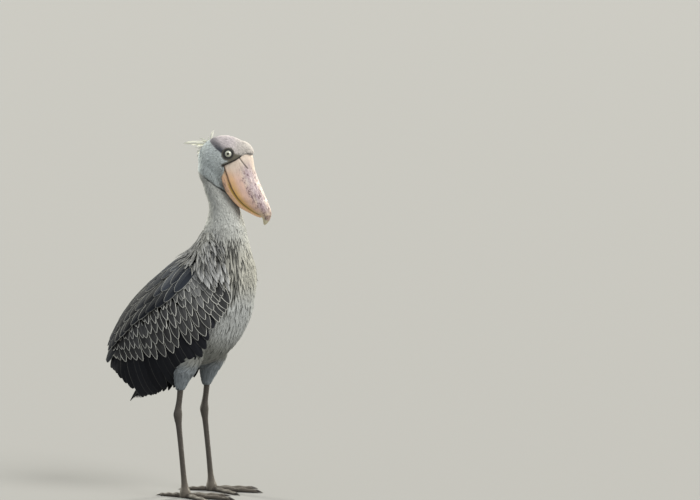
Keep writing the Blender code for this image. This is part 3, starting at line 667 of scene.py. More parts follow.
def make_skin(material):
    """Head, neck, trunk and thighs as one skin, drawn in by the depth of the coat, and its points."""
    parts = [tube("trunk", oval_rings(TRUNK_ROWS, 4, 48), False)]
    parts += [tube("mass", head_ball(*row), False) for row in HEAD_MASSES]
    parts += [tube("thigh", thigh_rings(side), False) for _, side in SIDES]
    with bpy.context.temp_override(active_object=parts[0], selected_editable_objects=parts):
        bpy.ops.object.join()
    skin = parts[0]
    skin.name = "skin"
    remesh = skin.modifiers.new("remesh", "REMESH")
    remesh.mode = "VOXEL"
    remesh.voxel_size = VOXEL
    smooth = skin.modifiers.new("smooth", "SMOOTH")
    smooth.factor = 0.5
    smooth.iterations = 10
    graph = bpy.context.evaluated_depsgraph_get()
    baked = bpy.data.meshes.new_from_object(skin.evaluated_get(graph))
    skin.modifiers.clear()
    skin.data = baked
    points, normals = mesh_arrays(baked)
    points = points - normals * coat_depth(points)[:, None]
    points = points - normals * head_relief(points)[:, None]
    baked.vertices.foreach_set("co", (points + SHIFT).astype(np.float32).ravel())
    baked.shade_smooth()
    baked.update()
    kind = bare_skin(points)[:, None] * (1, 0, 0)
    dress(skin, material, "head_plumage", "head", "neck", "torso", "thigh_right", "thigh_left",
          tint=marking(points), kind=kind)
    return skin, points


def head_relief(p):
    """How far the skin sinks in the fold behind the cheek, round the eye and under the bill's edge."""
    x, z, side = head_plane(p)
    hood, horn = from_line(x, z, HOOD_LINE), from_line(x, z, HORN_LINE)
    eye = np.hypot(x - EYE_AT[0], z - EYE_AT[1])
    fold = 0.0022 * np.exp(-(hood / 0.0030) ** 2) * step(z, 0.94, 0.95) * step(x, 0.030, 0.050)
    socket = 0.0030 * (1 - step(eye, 0.010, 0.020)) * step(np.abs(side), 0.020, 0.030)
    creases = 0.0005 * bare_skin(p) * np.sin(eye / 0.0022 * math.pi)
    under_horn = 0.0080 * (1 - step(horn, -0.0030, 0.0002)) * step(x, 0.1085, 0.1130)
    return fold + socket + creases + under_horn * step(z, 0.985, 1.0)


def mesh_arrays(mesh):
    """A mesh's points and their normals."""
    found = np.empty((2, len(mesh.vertices) * 3))
    mesh.vertices.foreach_get("co", found[0])
    mesh.vertex_normals.foreach_get("vector", found[1])
    return found.reshape(2, -1, 3)


def tree_of(piece):
    """A piece's surface, for rays and nearest places, in the bird's own coordinates."""
    points = mesh_arrays(piece.data)[0] - SHIFT
    return BVHTree.FromPolygons(points.tolist(), [tuple(f.vertices) for f in piece.data.polygons])


# Feathers

# Outlines: places along a feather from root to tip, and the share of its half-width there.
TINY = ((0.0, 0.50), (0.35, 0.95), (0.72, 0.90), (1.0, 0.22))
LANCE = ((0.0, 0.55), (0.22, 0.95), (0.45, 1.0), (0.70, 0.70), (0.88, 0.38), (1.0, 0.04))
PLUME = ((0.0, 0.50), (0.16, 0.86), (0.36, 1.0), (0.56, 0.92), (0.76, 0.66), (0.90, 0.36), (1.0, 0.04))
BROAD = (
    (0.0, 0.42), (0.12, 0.74), (0.27, 0.94), (0.42, 1.0), (0.57, 0.93), (0.71, 0.78),
    (0.83, 0.57), (0.92, 0.36), (0.975, 0.18), (1.0, 0.05))
LONG = (
    (0.0, 0.45), (0.10, 0.72), (0.24, 0.90), (0.40, 1.0), (0.56, 0.98), (0.70, 0.90),
    (0.82, 0.76), (0.91, 0.56), (0.97, 0.32), (1.0, 0.06))
# Columns of points across a feather, as shares of its half-width.
THREE = (-1.0, 0.0, 1.0)
FIVE = (-1.0, -0.5, 0.0, 0.5, 1.0)
NINE = (-1.0, -0.80, -0.45, -0.07, 0.0, 0.07, 0.45, 0.80, 1.0)
# Height of the shaft over the vane of a broad feather.
SHAFT_RIDGE = 0.0006
# Side of each feather's patch on the skin's own map.
PATCH = 0.003


def vanes(name, line, normal, half, outline, columns, bow, thick, tint, kind, material, slot,
          roots=None, roll=0.0, ragged=0.0):
    """Closed curved feathers in one piece, from arrays of middle lines, normals and half-widths."""
    count, rows = line.shape[:2]
    s = np.asarray(columns)
    wide_count = len(s)
    t, share = np.array(outline).T
    ahead = unit(np.gradient(line, axis=1))
    side = unit(np.cross(ahead, normal))
    up = np.cross(side, ahead)
    turn = (np.reshape(roll, (-1, 1)) * (1 + t) / 2)[..., None]
    side, up = side * np.cos(turn) + up * np.sin(turn), up * np.cos(turn) - side * np.sin(turn)
    wide = half[:, None] * share
    reach = wide[..., None] * s
    reach = reach * (1 - ragged * np.abs(RNG.normal(size=reach.shape)) * (np.abs(s) > 0.9))
    sag = (half * bow)[:, None, None] * share[None, :, None] * s**2
    over = line[:, :, None] + side[:, :, None] * reach[..., None] - up[:, :, None] * sag[..., None]
    lens = thick / 2 * (1 - s**2)[None, :] * np.minimum(1, 4 * np.minimum(t, 1 - t))[:, None]
    ridge = SHAFT_RIDGE * (s == 0)[None, :] * (1 - t)[:, None] * (columns is NINE)
    top = over + up[:, :, None] * (lens + ridge)[None, ..., None]
    low = (over - up[:, :, None] * lens[None, ..., None])[:, 1:-1, 1:-1]
    inner = (rows - 2) * (wide_count - 2)
    points = np.concatenate([top.reshape(count, -1, 3), low.reshape(count, -1, 3)], 1)
    upper = np.arange(rows * wide_count).reshape(rows, wide_count)
    under = upper.copy()
    under[1:-1, 1:-1] = rows * wide_count + np.arange(inner).reshape(rows - 2, wide_count - 2)
    faces = np.concatenate([grid_of(upper), grid_of(under)[:, ::-1]])
    each = rows * wide_count + inner
    every = (faces[None] + (np.arange(count) * each)[:, None, None]).reshape(-1, 4)
    made = mesh_piece(name, points, every)
    made.data.set_sharp_from_angle(angle=math.radians(75))
    length = np.linalg.norm(np.diff(line, axis=1), axis=2).sum(1)
    edge = np.minimum(wide[..., None] * (1 - np.abs(s)), (length[:, None] * (1 - t))[..., None])
    along = np.broadcast_to((length[:, None] * t)[..., None], reach.shape)
    set_attribute(made.data, "vane", "FLOAT_VECTOR", both_sheets(np.stack([reach, along, edge], -1)))
    tints = np.broadcast_to(np.reshape(tint, (count, -1, 1, 3)), (count, rows, wide_count, 3))
    kinds = np.stack(np.broadcast_arrays(*kind, half)[:3], 1)
    dress(made, material, slot, tint=both_sheets(tints), kind=np.repeat(kinds, each, axis=0))
    bake_map(made, s, t, share, roots, count, every)


def grid_of(index):
    return np.stack([index[:-1, :-1], index[:-1, 1:], index[1:, 1:], index[1:, :-1]], -1).reshape(-1, 4)


def both_sheets(values):
    """Numbers of the upper sheets' points, with those of the lower sheets' own points after them."""
    count, rows, columns, parts = values.shape
    upper = values.reshape(count, rows * columns, parts)
    lower = values[:, 1:-1, 1:-1].reshape(count, -1, parts)
    return np.concatenate([upper, lower], 1).reshape(-1, parts)


def bake_map(made, s, t, share, roots, count, faces):
    """A map with each vane's patch at its root's place on the skin, or in its own cell of a sheet."""
    u = s[None] * share[:, None] / 2 + 0.5
    v = np.broadcast_to(t[:, None], u.shape)
    local = both_sheets(np.stack([u, v], -1)[None])
    if roots is None:
        cells = math.ceil(math.sqrt(count))
        k = np.arange(count)
        corner = np.stack([k % cells, k // cells], 1) / cells
        places = corner[:, None] + (0.04 + 0.92 * local[None]) / cells
    else:
        places = roots[:, None] + (local[None] - 0.5) * PATCH
    places = places.reshape(-1, 2)
    layer = made.data.uv_layers.new(name="OFBake")
    layer.uv.foreach_set("vector", places[faces.ravel()].astype(np.float32).ravel())


class Ground:
    """The skin that the coat grows on, with what is known at the middle of each of its faces."""

    def __init__(self, points, mesh, bills, arms):
        mesh.calc_loop_triangles()
        faces = np.empty(len(mesh.loop_triangles) * 3, np.int32)
        mesh.loop_triangles.foreach_get("vertices", faces)
        self.points, self.faces = points, faces.reshape(-1, 3)
        self.tree = BVHTree.FromPolygons(points.tolist(), self.faces.tolist())
        a, b, c = (points[self.faces[:, k]] for k in range(3))
        normal = np.cross(b - a, c - a)
        self.area = np.linalg.norm(normal, axis=1) / 2
        self.middle = (a + b + c) / 3
        self.row = trunk_place(self.middle)[0]
        self.thigh = thigh_share(self.middle) >= 0.5
        self.open = bare_skin(self.middle) < 0.5
        self.hide_under(bills, arms, unit(normal))

    def hide_under(self, bills, arms, normal):
        """Leaves out what lies in or against the bill, and what the folded wings cover."""
        p = self.middle
        for k in np.flatnonzero(p[:, 2] > 0.84):
            here, way = Vector(p[k]), Vector(normal[k])
            for bill in bills:
                _, face, _, far = bill.ray_cast(here, way, 0.08)
                if face is not None and (face.dot(way) > 0 or far < 0.0010):
                    self.open[k] = False
        for k in np.flatnonzero((p[:, 2] < 0.72) & (p[:, 2] > 0.42) & (np.abs(p[:, 1]) > 0.045)):
            out = Vector((0, math.copysign(1, p[k, 1]), 0))
            if any(arm.ray_cast(Vector(p[k]), out, 0.12)[0] is not None for arm in arms):
                self.open[k] = False

    def spread(self, keep, spacing):
        """Places spread over the faces to keep, no two nearer than the spacing asks."""
        kept = np.flatnonzero(keep & self.open)
        near = spacing(self.middle[kept])
        weight = self.area[kept] / near**2
        total = int(weight.sum() * 2.6)
        pick = RNG.choice(len(kept), total, p=weight / weight.sum())
        r = RNG.random((total, 2))
        r = np.where(r.sum(1, keepdims=True) > 1, 1 - r, r)
        a, b, c = (self.points[self.faces[kept[pick], k]] for k in range(3))
        places = a + (b - a) * r[:, :1] + (c - a) * r[:, 1:]
        return places[apart(places, near[pick] * 0.80)]


def apart(places, gaps):
    """Which places stay when each keeps its own gap from those before it."""
    cell = float(gaps.max())
    taken, chosen = {}, []
    keys = np.floor(places / cell).astype(int).tolist()
    listed = places.tolist()
    steps = [(i, j, k) for i in (-1, 0, 1) for j in (-1, 0, 1) for k in (-1, 0, 1)]
    for at, (i, j, k) in enumerate(keys):
        x, y, z = listed[at]
        limit = gaps[at] ** 2
        near = (q for di, dj, dk in steps for q in taken.get((i + di, j + dj, k + dk), ()))
        if all((a - x) ** 2 + (b - y) ** 2 + (c - z) ** 2 >= limit for a, b, c in near):
            taken.setdefault((i, j, k), []).append((x, y, z))
            chosen.append(at)
    return chosen


# How deep the root of a coat feather sits in the skin.
ROOT_IN = 0.0012
# Places of the head's own plane with the direction that feathers point in there.
HEAD_LIE = (
    (0.165, 1.085, -0.80, 0.60), (0.150, 1.105, -0.97, 0.25), (0.100, 1.122, -1.0, -0.02),
    (0.048, 1.100, -0.75, -0.66), (0.015, 1.040, -0.15, -1.0), (0.090, 1.075, -0.95, -0.10),
    (0.070, 1.030, -0.55, -0.83), (0.090, 0.990, -0.25, -0.97), (0.060, 0.950, 0.0, -1.0),
    (0.140, 1.060, -0.9, 0.35), (0.105, 1.045, -0.9, -0.35),
)
THIGH_LIE = (-0.20, 0.0, -0.98)


def along_skin(way, normals):
    """Directions laid flat on the skin."""
    return unit(way - (way * normals).sum(1, keepdims=True) * normals)


def lie(points, normals):
    """The direction that feathers point in at each place."""
    x, z, _ = head_plane(points)
    weight, way = np.zeros((len(points), 1)), np.zeros((len(points), 2))
    for gx, gz, dx, dz in HEAD_LIE:
        near = 1 / ((x - gx) ** 2 + (z - gz) ** 2 + 1e-4)[:, None] ** 2
        way += near * (dx, dz)
        weight += near
    way = way / weight
    row, share = trunk_place(points)
    change = through(TRUNK_ROWS, row + 0.4) - through(TRUNK_ROWS, row - 0.4)
    run = change[:, 0:2] * (1 - share[:, None]) + change[:, 2:4] * share[:, None]
    out = points[:, 1] / np.maximum(through(TRUNK_ROWS, row)[:, 4], 0.01)
    trunk = unit(np.stack([run[:, 0], out * change[:, 4], run[:, 1]], 1))
    found = mixed(
        trunk,
        (unit(head_way(way[:, 0], way[:, 1], 0.0)), step(points[:, 2], 0.935, 0.985)),
        (THIGH_LIE, thigh_share(points)))
    return along_skin(found, normals)


def nearest(tree, points):
    """The nearest places on a surface, and its normals there."""
    found = [tree.find_nearest(p) for p in points.tolist()]
    return np.array([f[0] for f in found]), np.array([f[1] for f in found])


def follow(tree, here, way, reach, outline):
    """Middle lines of feathers that lie along the skin, and the skin's normals along them."""
    here, normal = nearest(tree, here)
    lines, ups = [here], [normal]
    for before, after in zip(outline[:-1], outline[1:]):
        here, normal = nearest(tree, here + way * (reach * (after[0] - before[0]))[:, None])
        way = along_skin(way, normal)
        lines.append(here)
        ups.append(normal)
    return np.stack(lines, 1), np.stack(ups, 1)


def coat(name, slot, ground, keep, spacing, length, width, outline, material, look, lift=1.0):
    """One piece of the coat: feathers over the faces to keep."""
    here, normal = nearest(ground.tree, ground.spread(keep, spacing))
    count = len(here)
    heading = lie(here, normal)
    heading = unit(heading + np.cross(normal, heading) * RNG.normal(0, 0.10, count)[:, None])
    reach = length(here) * RNG.uniform(0.80, 1.15, count)
    half = width(here) / 2 * RNG.uniform(0.82, 1.12, count)
    line, ups = follow(ground.tree, here, heading, reach, outline)
    t = np.array(outline)[:, 0]
    row, share = trunk_place(here)
    raised = lift * (1 + 1.2 * by_wing(row, share) * step(row, 4.6, 6.0))
    depth = coat_depth(here) * RNG.uniform(0.75, 1.15, count) * raised
    line = line + ups * np.where(t < 0.01, -ROOT_IN, depth[:, None] * (0.35 + 0.65 * t))[..., None]
    tint, kind = look(line, RNG.normal(0, 1, count))
    columns = FIVE if outline is PLUME else THREE
    vanes(name, line, ups, half, outline, columns, 0.30, 0.0006, tint, kind, material, slot,
          roots=skin_map(here), ragged=0.12)


def skin_map(p):
    """The skin's own unwrap: round the body across, and along it up, from 0 to 1."""
    row, share = trunk_place(p)
    x, _, side = head_plane(p)
    half = np.degrees(np.arccos(np.clip(1 - 2 * share, -1, 1))) / 360
    trunk = np.where(p[:, 1] < 0, 0.5 - half, 0.5 + half)
    head = 0.5 + np.arctan2(side, 0.10 - x) / (2 * math.pi)
    high = p[:, 2] > 0.985
    u = np.where(high, head, trunk)
    v = np.where(high, 0.80 + (p[:, 2] - 0.985) * 1.1, 0.78 - row / 14 * 0.55)
    leg = thigh_share(p) > 0.5
    turn = np.arctan2(np.abs(p[:, 1]) - 0.079, p[:, 0]) / (2 * math.pi) + 0.5
    u = np.where(leg, np.where(p[:, 1] < 0, 0.02, 0.52) + 0.44 * turn, u)
    v = np.where(leg, 0.02 + (p[:, 2] - 0.33) * 1.6, v)
    return np.clip(np.stack([u, v], 1), 0.01, 0.99)


def painted(line):
    """The coat's markings at every place of the feathers' middle lines."""
    return marking(line.reshape(-1, 3)).reshape(line.shape)


# How pale the tip of a plain feather is, against its middle.
PALE_TIP = 1.08


def plain_look(amount, fringe=0.0):
    """A look with the coat's markings and paler tips: how much feathers differ, and their fringe."""
    def look(line, tone):
        fade = np.linspace(2 - PALE_TIP, PALE_TIP, line.shape[1])[None, :, None]
        return painted(line) * np.exp(tone * amount)[:, None, None] * fade, (0.5 + 0.2 * tone, fringe, 0.0)
    return look


def by_wing(row, share):
    """How near each place of the breast is to the wing's front edge."""
    limit = 1.02 - 0.03 * (row - 4)
    beside = step(share, 0.20, 0.40) * (1 - step(share, limit - 0.12, limit))
    return beside * step(row, 3.8, 4.8) * (1 - step(row, 7.4, 8.6))


def plume_look(line, tone):
    """Long plumes, pale, with dark ones among them towards the wing as painted shade between the locks, and
    pale streaks on the dark back.
    """
    row, share = trunk_place(line[:, 0])
    near_wing = by_wing(row, share)
    # Painted shade: plumes darkened to 0.15, many towards the wing's front edge and few elsewhere, stand
    # for the shade between the locks.
    dark = tone > 2.2 - 2.45 * near_wing
    streak = (tone > 0.55) & (share < 0.50) & (row < 8)
    pale = np.exp(tone * 0.08) * (1.05 + 0.40 * near_wing)
    tint = painted(line)
    plume = tint * np.where(dark, 0.15, pale)[:, None, None]
    tint = np.where(streak[:, None, None], tint * 1.3 + 0.05, plume)
    low, high = 0.80 - 0.35 * near_wing, 1.12 + 0.15 * near_wing
    fade = low[:, None] + (high - low)[:, None] * np.linspace(0, 1, line.shape[1])
    return tint * fade[..., None], (0.5 + 0.2 * tone, np.where(dark, 0.5, 0.15), 0.25)


def even(value):
    return lambda p: np.full(len(p), value)


# Down the trunk by row: spacing, length and width of the coat's feathers.
COAT_SIZES = np.array((
    (0.0, 0.0024, 0.009, 0.0034), (3.0, 0.0030, 0.015, 0.0043), (4.5, 0.0041, 0.026, 0.0060),
    (6.0, 0.0050, 0.044, 0.0076), (7.5, 0.0053, 0.050, 0.0080), (9.0, 0.0053, 0.040, 0.0082),
    (11.0, 0.0053, 0.034, 0.0082)))


def off_face(p):
    """How far points are from the face, where the feathers are smallest, from 0 to 1."""
    x, z, _ = head_plane(p)
    return step(np.hypot(x - 0.130, z - 1.045), 0.025, 0.080)


def make_coat(ground, feather):
    """The coat in pieces from the head to the thighs."""
    row, thigh = ground.row, ground.thigh
    x, z, _ = head_plane(ground.middle)
    high = z > 0.955
    crown = high & (from_line(x, z, WEDGE_LINE) > 0) & (z > 1.05)

    def by_row(column):
        return lambda p: np.interp(trunk_place(p)[0], COAT_SIZES[:, 0], COAT_SIZES[:, column])

    spacing, length, width = by_row(1), by_row(2), by_row(3)
    coat("coat_crown", "head_plumage", ground, crown, even(0.0019), even(0.0068), even(0.0027), TINY,
         feather, plain_look(0.15))
    coat("coat_cheek", "head_plumage", ground, high & ~crown, lambda p: 0.0018 + 0.0009 * off_face(p),
         lambda p: 0.0048 + 0.0050 * off_face(p), lambda p: 0.0024 + 0.0012 * off_face(p), TINY, feather,
         plain_look(0.11))
    coat("coat_neck", "head_plumage", ground, ~high & (row < 3.6), spacing, length, width, TINY, feather,
         plain_look(0.12, 0.05), 0.8)
    for word, side in SIDES:
        for name, part in (("breast", row < 7.2), ("belly", row >= 7.2)):
            keep = (row >= 3.6) & ~thigh & part & (side * ground.middle[:, 1] > 0)
            coat(f"coat_{name}_{word}", "body_plumage", ground, keep, spacing,
                 lambda p: length(p) * (1 + 0.45 * by_wing(*trunk_place(p))), width, PLUME,
                 feather, plume_look)
    coat("coat_thighs", "body_plumage", ground, thigh, even(0.0038), even(0.020), even(0.0060), LANCE,
         feather, plain_look(0.10))


# Wings

def oval_point(rows, u, phi):
    found = through(rows, u)
    turn = np.radians(phi)
    x, z = across(np.moveaxis(found, -1, 0), (1 - np.cos(turn)) / 2)
    return np.stack([x, found[..., 4] * np.sin(turn), z], -1)


def oval_at(rows, u, phi, lift, side):
    """Points lifted off a form of half ovals, and its normals: u in rows, phi in degrees from the back."""
    u, phi = np.broadcast_arrays(np.asarray(u, float), np.asarray(phi, float))
    last = len(rows) - 1
    after, before = np.minimum(u + 0.05, last), np.maximum(u - 0.05, 0.0)
    along = oval_point(rows, after, phi) - oval_point(rows, before, phi)
    around = oval_point(rows, u, phi + 1) - oval_point(rows, u, phi - 1)
    normal = unit(np.cross(around, along))
    normal = normal * np.where((normal[..., 1:2] < 0) & (phi[..., None] > 8), -1.0, 1.0)
    mirror = np.array((1, side, 1))
    return (oval_point(rows, u, phi) + normal * np.asarray(lift)[..., None]) * mirror, normal * mirror


# Rows of long feathers on the wing: name, count, roots from and to, tips from and to as (u, phi), lift past
# the root, rise to the tip, width, roll in degrees, drop of the middle tips, colour, fringe.
SLATE = (0.012, 0.014, 0.018)
COVERT = (0.046, 0.047, 0.049)
SHOULDER = (0.24, 0.245, 0.245)
FLIGHT = (0.015, 0.016, 0.020)
WING_TIERS = (
    ("primary", 8, (4.0, 66), (5.4, 54), (5.0, 152), (6.9, 60), -0.0150, 0.0010, 0.040, 9, 0, FLIGHT, 0.05),
    ("secondary", 15, (1.2, 100), (4.6, 72), (1.5, 133), (5.4, 153),
     -0.0098, 0.0015, 0.034, 7, 8, FLIGHT, 0.12),
    ("tertial", 8, (3.2, 47), (4.3, 10), (6.7, 49), (7.0, 12), -0.0030, 0.0030, 0.036, 10, 0, SLATE, 0.20),
    ("scapular_a", 11, (0.3, 60), (3.8, 38), (1.5, 67), (5.7, 47),
     0.0050, 0.0060, 0.035, 6, 0, SLATE, 0.46),
    ("scapular_b", 11, (0.2, 47), (3.8, 31), (1.4, 54), (5.7, 37),
     0.0056, 0.0055, 0.034, 5, 0, SLATE, 0.46),
    ("scapular_c", 11, (0.1, 33), (3.7, 22), (1.25, 38), (5.5, 27),
     0.0060, 0.0050, 0.033, 4, 0, SLATE, 0.38),
    ("mantle", 11, (0.0, 19), (3.6, 12), (1.3, 24), (5.3, 15), 0.0064, 0.0045, 0.033, 3, 0, SLATE, 0.30),
    ("mantle_inner", 12, (0.0, 8), (3.6, 5), (1.2, 10), (5.2, 7), 0.0058, 0.0042, 0.032, 2, 0, SLATE, 0.26),
    ("mantle_ridge", 12, (0.15, 1), (3.9, 1), (1.5, 1), (5.5, 1), 0.0056, 0.0040, 0.030, 0, 0, SLATE, 0.26),
)
# The coverts' rows: tips of the lowest row from front to back as (u, phi), and the way back to their roots.
COVERT_TIPS = (
    (0.72, 129), (1.15, 128), (1.80, 123), (2.50, 116), (3.20, 107), (3.90, 98), (4.60, 86), (5.30, 70),
    (5.85, 50))
COVERT_BACK = (
    (0.28, 20), (0.30, 22), (0.26, 23), (0.22, 23), (0.18, 24), (0.12, 25), (0.04, 28), (-0.10, 31),
    (-0.15, 30))
# Each row: name, count, degrees up from the lowest row at front and back, width, lift, length share.
COVERT_ROWS = (
    ("greater", 22, 0.0, 0.0, 0.0290, -0.0062, 1.10),
    ("median", 25, 12.5, 13.0, 0.0265, -0.0040, 1.00),
    ("lesser_a", 28, 24.0, 25.0, 0.0240, -0.0020, 0.92),
    ("lesser_b", 30, 34.5, 36.0, 0.0215, -0.0002, 0.84),
    ("lesser_c", 32, 44.0, 46.0, 0.0190, 0.0014, 0.76),
    ("lesser_d", 33, 52.5, 56.0, 0.0170, 0.0022, 0.68),
    ("lesser_e", 34, 60.0, 66.0, 0.0155, 0.0028, 0.62),
)
# How deep the wing's arm lies under the feathers' form, its thickness, and the feathers' roots.
ARM_LIFT = -0.0125
ARM_THICK = 0.020
ROOT_LIFT = -0.0165

# The cape: the form that the feathers of the shoulder lie on, from the neck's foot over the wing's front.
CAPE_ROWS = (
    (0.043, 0.881, 0.153, 0.872, 0.0510),
    (0.026, 0.830, 0.166, 0.825, 0.0650),
    (0.009, 0.797, 0.184, 0.758, 0.0885),
    (-0.012, 0.768, 0.204, 0.640, 0.1260),
    (-0.056, 0.741, 0.190, 0.548, 0.1460),
    (-0.120, 0.690, 0.118, 0.434, 0.1550),
)
# By degrees round the cape: where its last feathers are rooted, and the parting above the soft shoulder.
CAPE_END = ((0, 50, 62, 77, 87, 99, 113, 126), (3.15, 3.15, 3.05, 3.28, 3.15, 2.92, 2.85, 2.80))
CAPE_ARC = ((50, 68, 84, 89, 97, 110, 122), (3.15, 2.80, 2.78, 2.50, 2.30, 2.26, 2.34))


def wing_arm(name, side):
    """The arm under the feathers, which shows between them as painted shade."""
    rings = []
    for u in np.linspace(0.05, 5.6, 24):
        turns = np.linspace(3.0 + 0.5 * u, np.interp(u, *np.array(CORE_END).T), 20)
        outer = oval_at(WING_ROWS, u, turns, np.full(20, ARM_LIFT), side)[0]
        under = ARM_LIFT - ARM_THICK * (1 - 0.1 * u)
        inner = oval_at(WING_ROWS, u, turns[-2:0:-1], np.full(18, under), side)[0]
        rings.append(np.concatenate([outer, inner]))
    return tube(name, rings)


def wing_row(name, side, root, tip, lift, rise, width, outline, roll, colour, fringe, feather):
    """A row of feathers laid over the folded wing, each from its root to its tip as (u, phi)."""
    count = len(root)
    t = np.array(outline)[:, 0]
    at = root[:, None] + (tip - root)[:, None] * t[None, :, None]
    lift = lift + RNG.normal(0, 0.0003, count)
    height = ROOT_LIFT + (lift[:, None] - ROOT_LIFT) * step(t, 0.0, 0.22) + rise * t
    line, up = oval_at(WING_ROWS, at[..., 0], at[..., 1], height, side)
    tint = np.asarray(colour) * np.exp(RNG.normal(0, 0.20, (count, 1)))
    tint = tint[:, None] * (0.75 + 0.40 * t[None, :, None])
    fringe = fringe * (1 - RNG.uniform(0, 1, count) ** 1.5 * (0.9 - 0.4 * np.asarray(fringe)))
    kind = (0.5 + RNG.normal(0, 0.15, count), fringe, 0.55)
    half = width / 2 * (1 + RNG.normal(0, 0.09, count))
    vanes(name, line, up, half, outline, NINE, 0.12, 0.0009, tint, kind, feather, "flight_feathers",
          roll=-side * np.radians(roll), ragged=0.04)


def make_wing(word, side, feather, dark):
    """One folded wing: the arm, whose surface is given back, and its rows of feathers."""
    arm = wing_arm(f"wing_arm_{word}", side)
    points = mesh_arrays(arm.data)[0] - SHIFT
    # Painted shade and painted light: near black where the arm shows between the feathers, painted grey at
    # its front by the shoulder, where it would show black in shade.
    grey = 0.02 + 0.13 * step(points[:, 0] + 0.4 * points[:, 2], 0.325, 0.385)
    dress(arm, dark, "flight_feathers", f"wing_{word}", tint=grey[:, None] * (1, 1, 1))
    for tier in WING_TIERS:
        if tier[0] != "mantle_ridge" or side < 0:
            make_tier(word, side, feather, *tier)
    for row in COVERT_ROWS:
        make_coverts(word, side, feather, *row)
    return tree_of(arm)


def make_tier(word, side, feather, tier, count, r0, r1, t0, t1, lift, rise, width, roll, drop, colour,
              fringe):
    """One row of the wing's long feathers."""
    k = np.linspace(0, 1, count)
    root, tip = mix(r0, r1, k), mix(t0, t1, k)
    tip[:, 1] += drop * np.sin(math.pi * np.minimum(1, k * 1.15)) + RNG.normal(0, 0.8, count)
    tip[:, 0] += RNG.normal(0, 0.03, count)
    if tier == "secondary":
        tip[:, 1] -= 14.0 * np.maximum(0, 0.4 - k)
    # Painted light: at the front of the scapular and mantle rows, the feathers are painted up to 2.6 times
    # paler, where their roots lie in shade by the shoulder.
    colour = np.asarray(colour) * (1 + 1.6 * (lift > 0) * (1 - step(k, 0.0, 0.40)))[:, None]
    wing_row(f"{tier}_{word}", side, root, tip, lift, rise, width, LONG, roll, colour, fringe, feather)


def make_coverts(word, side, feather, row, count, up_front, up_back, width, lift, long):
    """One row of the wing's coverts, looser towards the back."""
    k = np.linspace(0, 1, count) ** 1.12
    at = k * (len(COVERT_TIPS) - 1)
    up = up_front + (up_back - up_front) * k
    tip = through(COVERT_TIPS, at) - np.stack([0.011 * up, up], 1)
    calm = 0.45 + 0.55 * step(k, 0.05, 0.40)
    tip += RNG.normal(0, 1, (count, 2)) * (0.040, 1.7) * calm[:, None]
    back = through(COVERT_BACK, at) + RNG.normal(0, 1, (count, 2)) * (0.035, 1.0) * calm[:, None]
    root = tip - back * long * RNG.uniform(0.9, 1.1, (count, 1))
    kept = tip[:, 1] > 25.0
    shoulder = ((1 - step(k, 0.10, 0.40)) * step(up_front, 5, 45))[kept]
    wing_row(f"{row}_{word}", side, root[kept], tip[kept], lift, 0.0020, width, BROAD, 14 - 8 * calm[kept],
             mix(COVERT, SHOULDER, shoulder * 0.8), 1.0 - 0.25 * shoulder, feather)


def cape_roots():
    """Where the cape's feathers are rooted as (u, phi), and the parting at each one's phi."""
    places = RNG.uniform((0.0, 3.0), (4.2, 113.0), (16000, 2))
    flat = np.stack([places[:, 0] * 0.055, np.radians(places[:, 1]) * 0.085, np.zeros(len(places))], 1)
    u, phi = places[apart(flat, np.full(len(places), 0.0070))].T
    start, end, arc = 0.7 + 0.9 * step(phi, 50, 100), np.interp(phi, *CAPE_END), np.interp(phi, *CAPE_ARC)
    parting = (u > arc - 0.34) & (u < arc) & (phi > 86)
    keep = (u > start) & (u < end) & ~parting & ((phi < 108) | (u > arc))
    return u[keep], phi[keep], arc[keep]


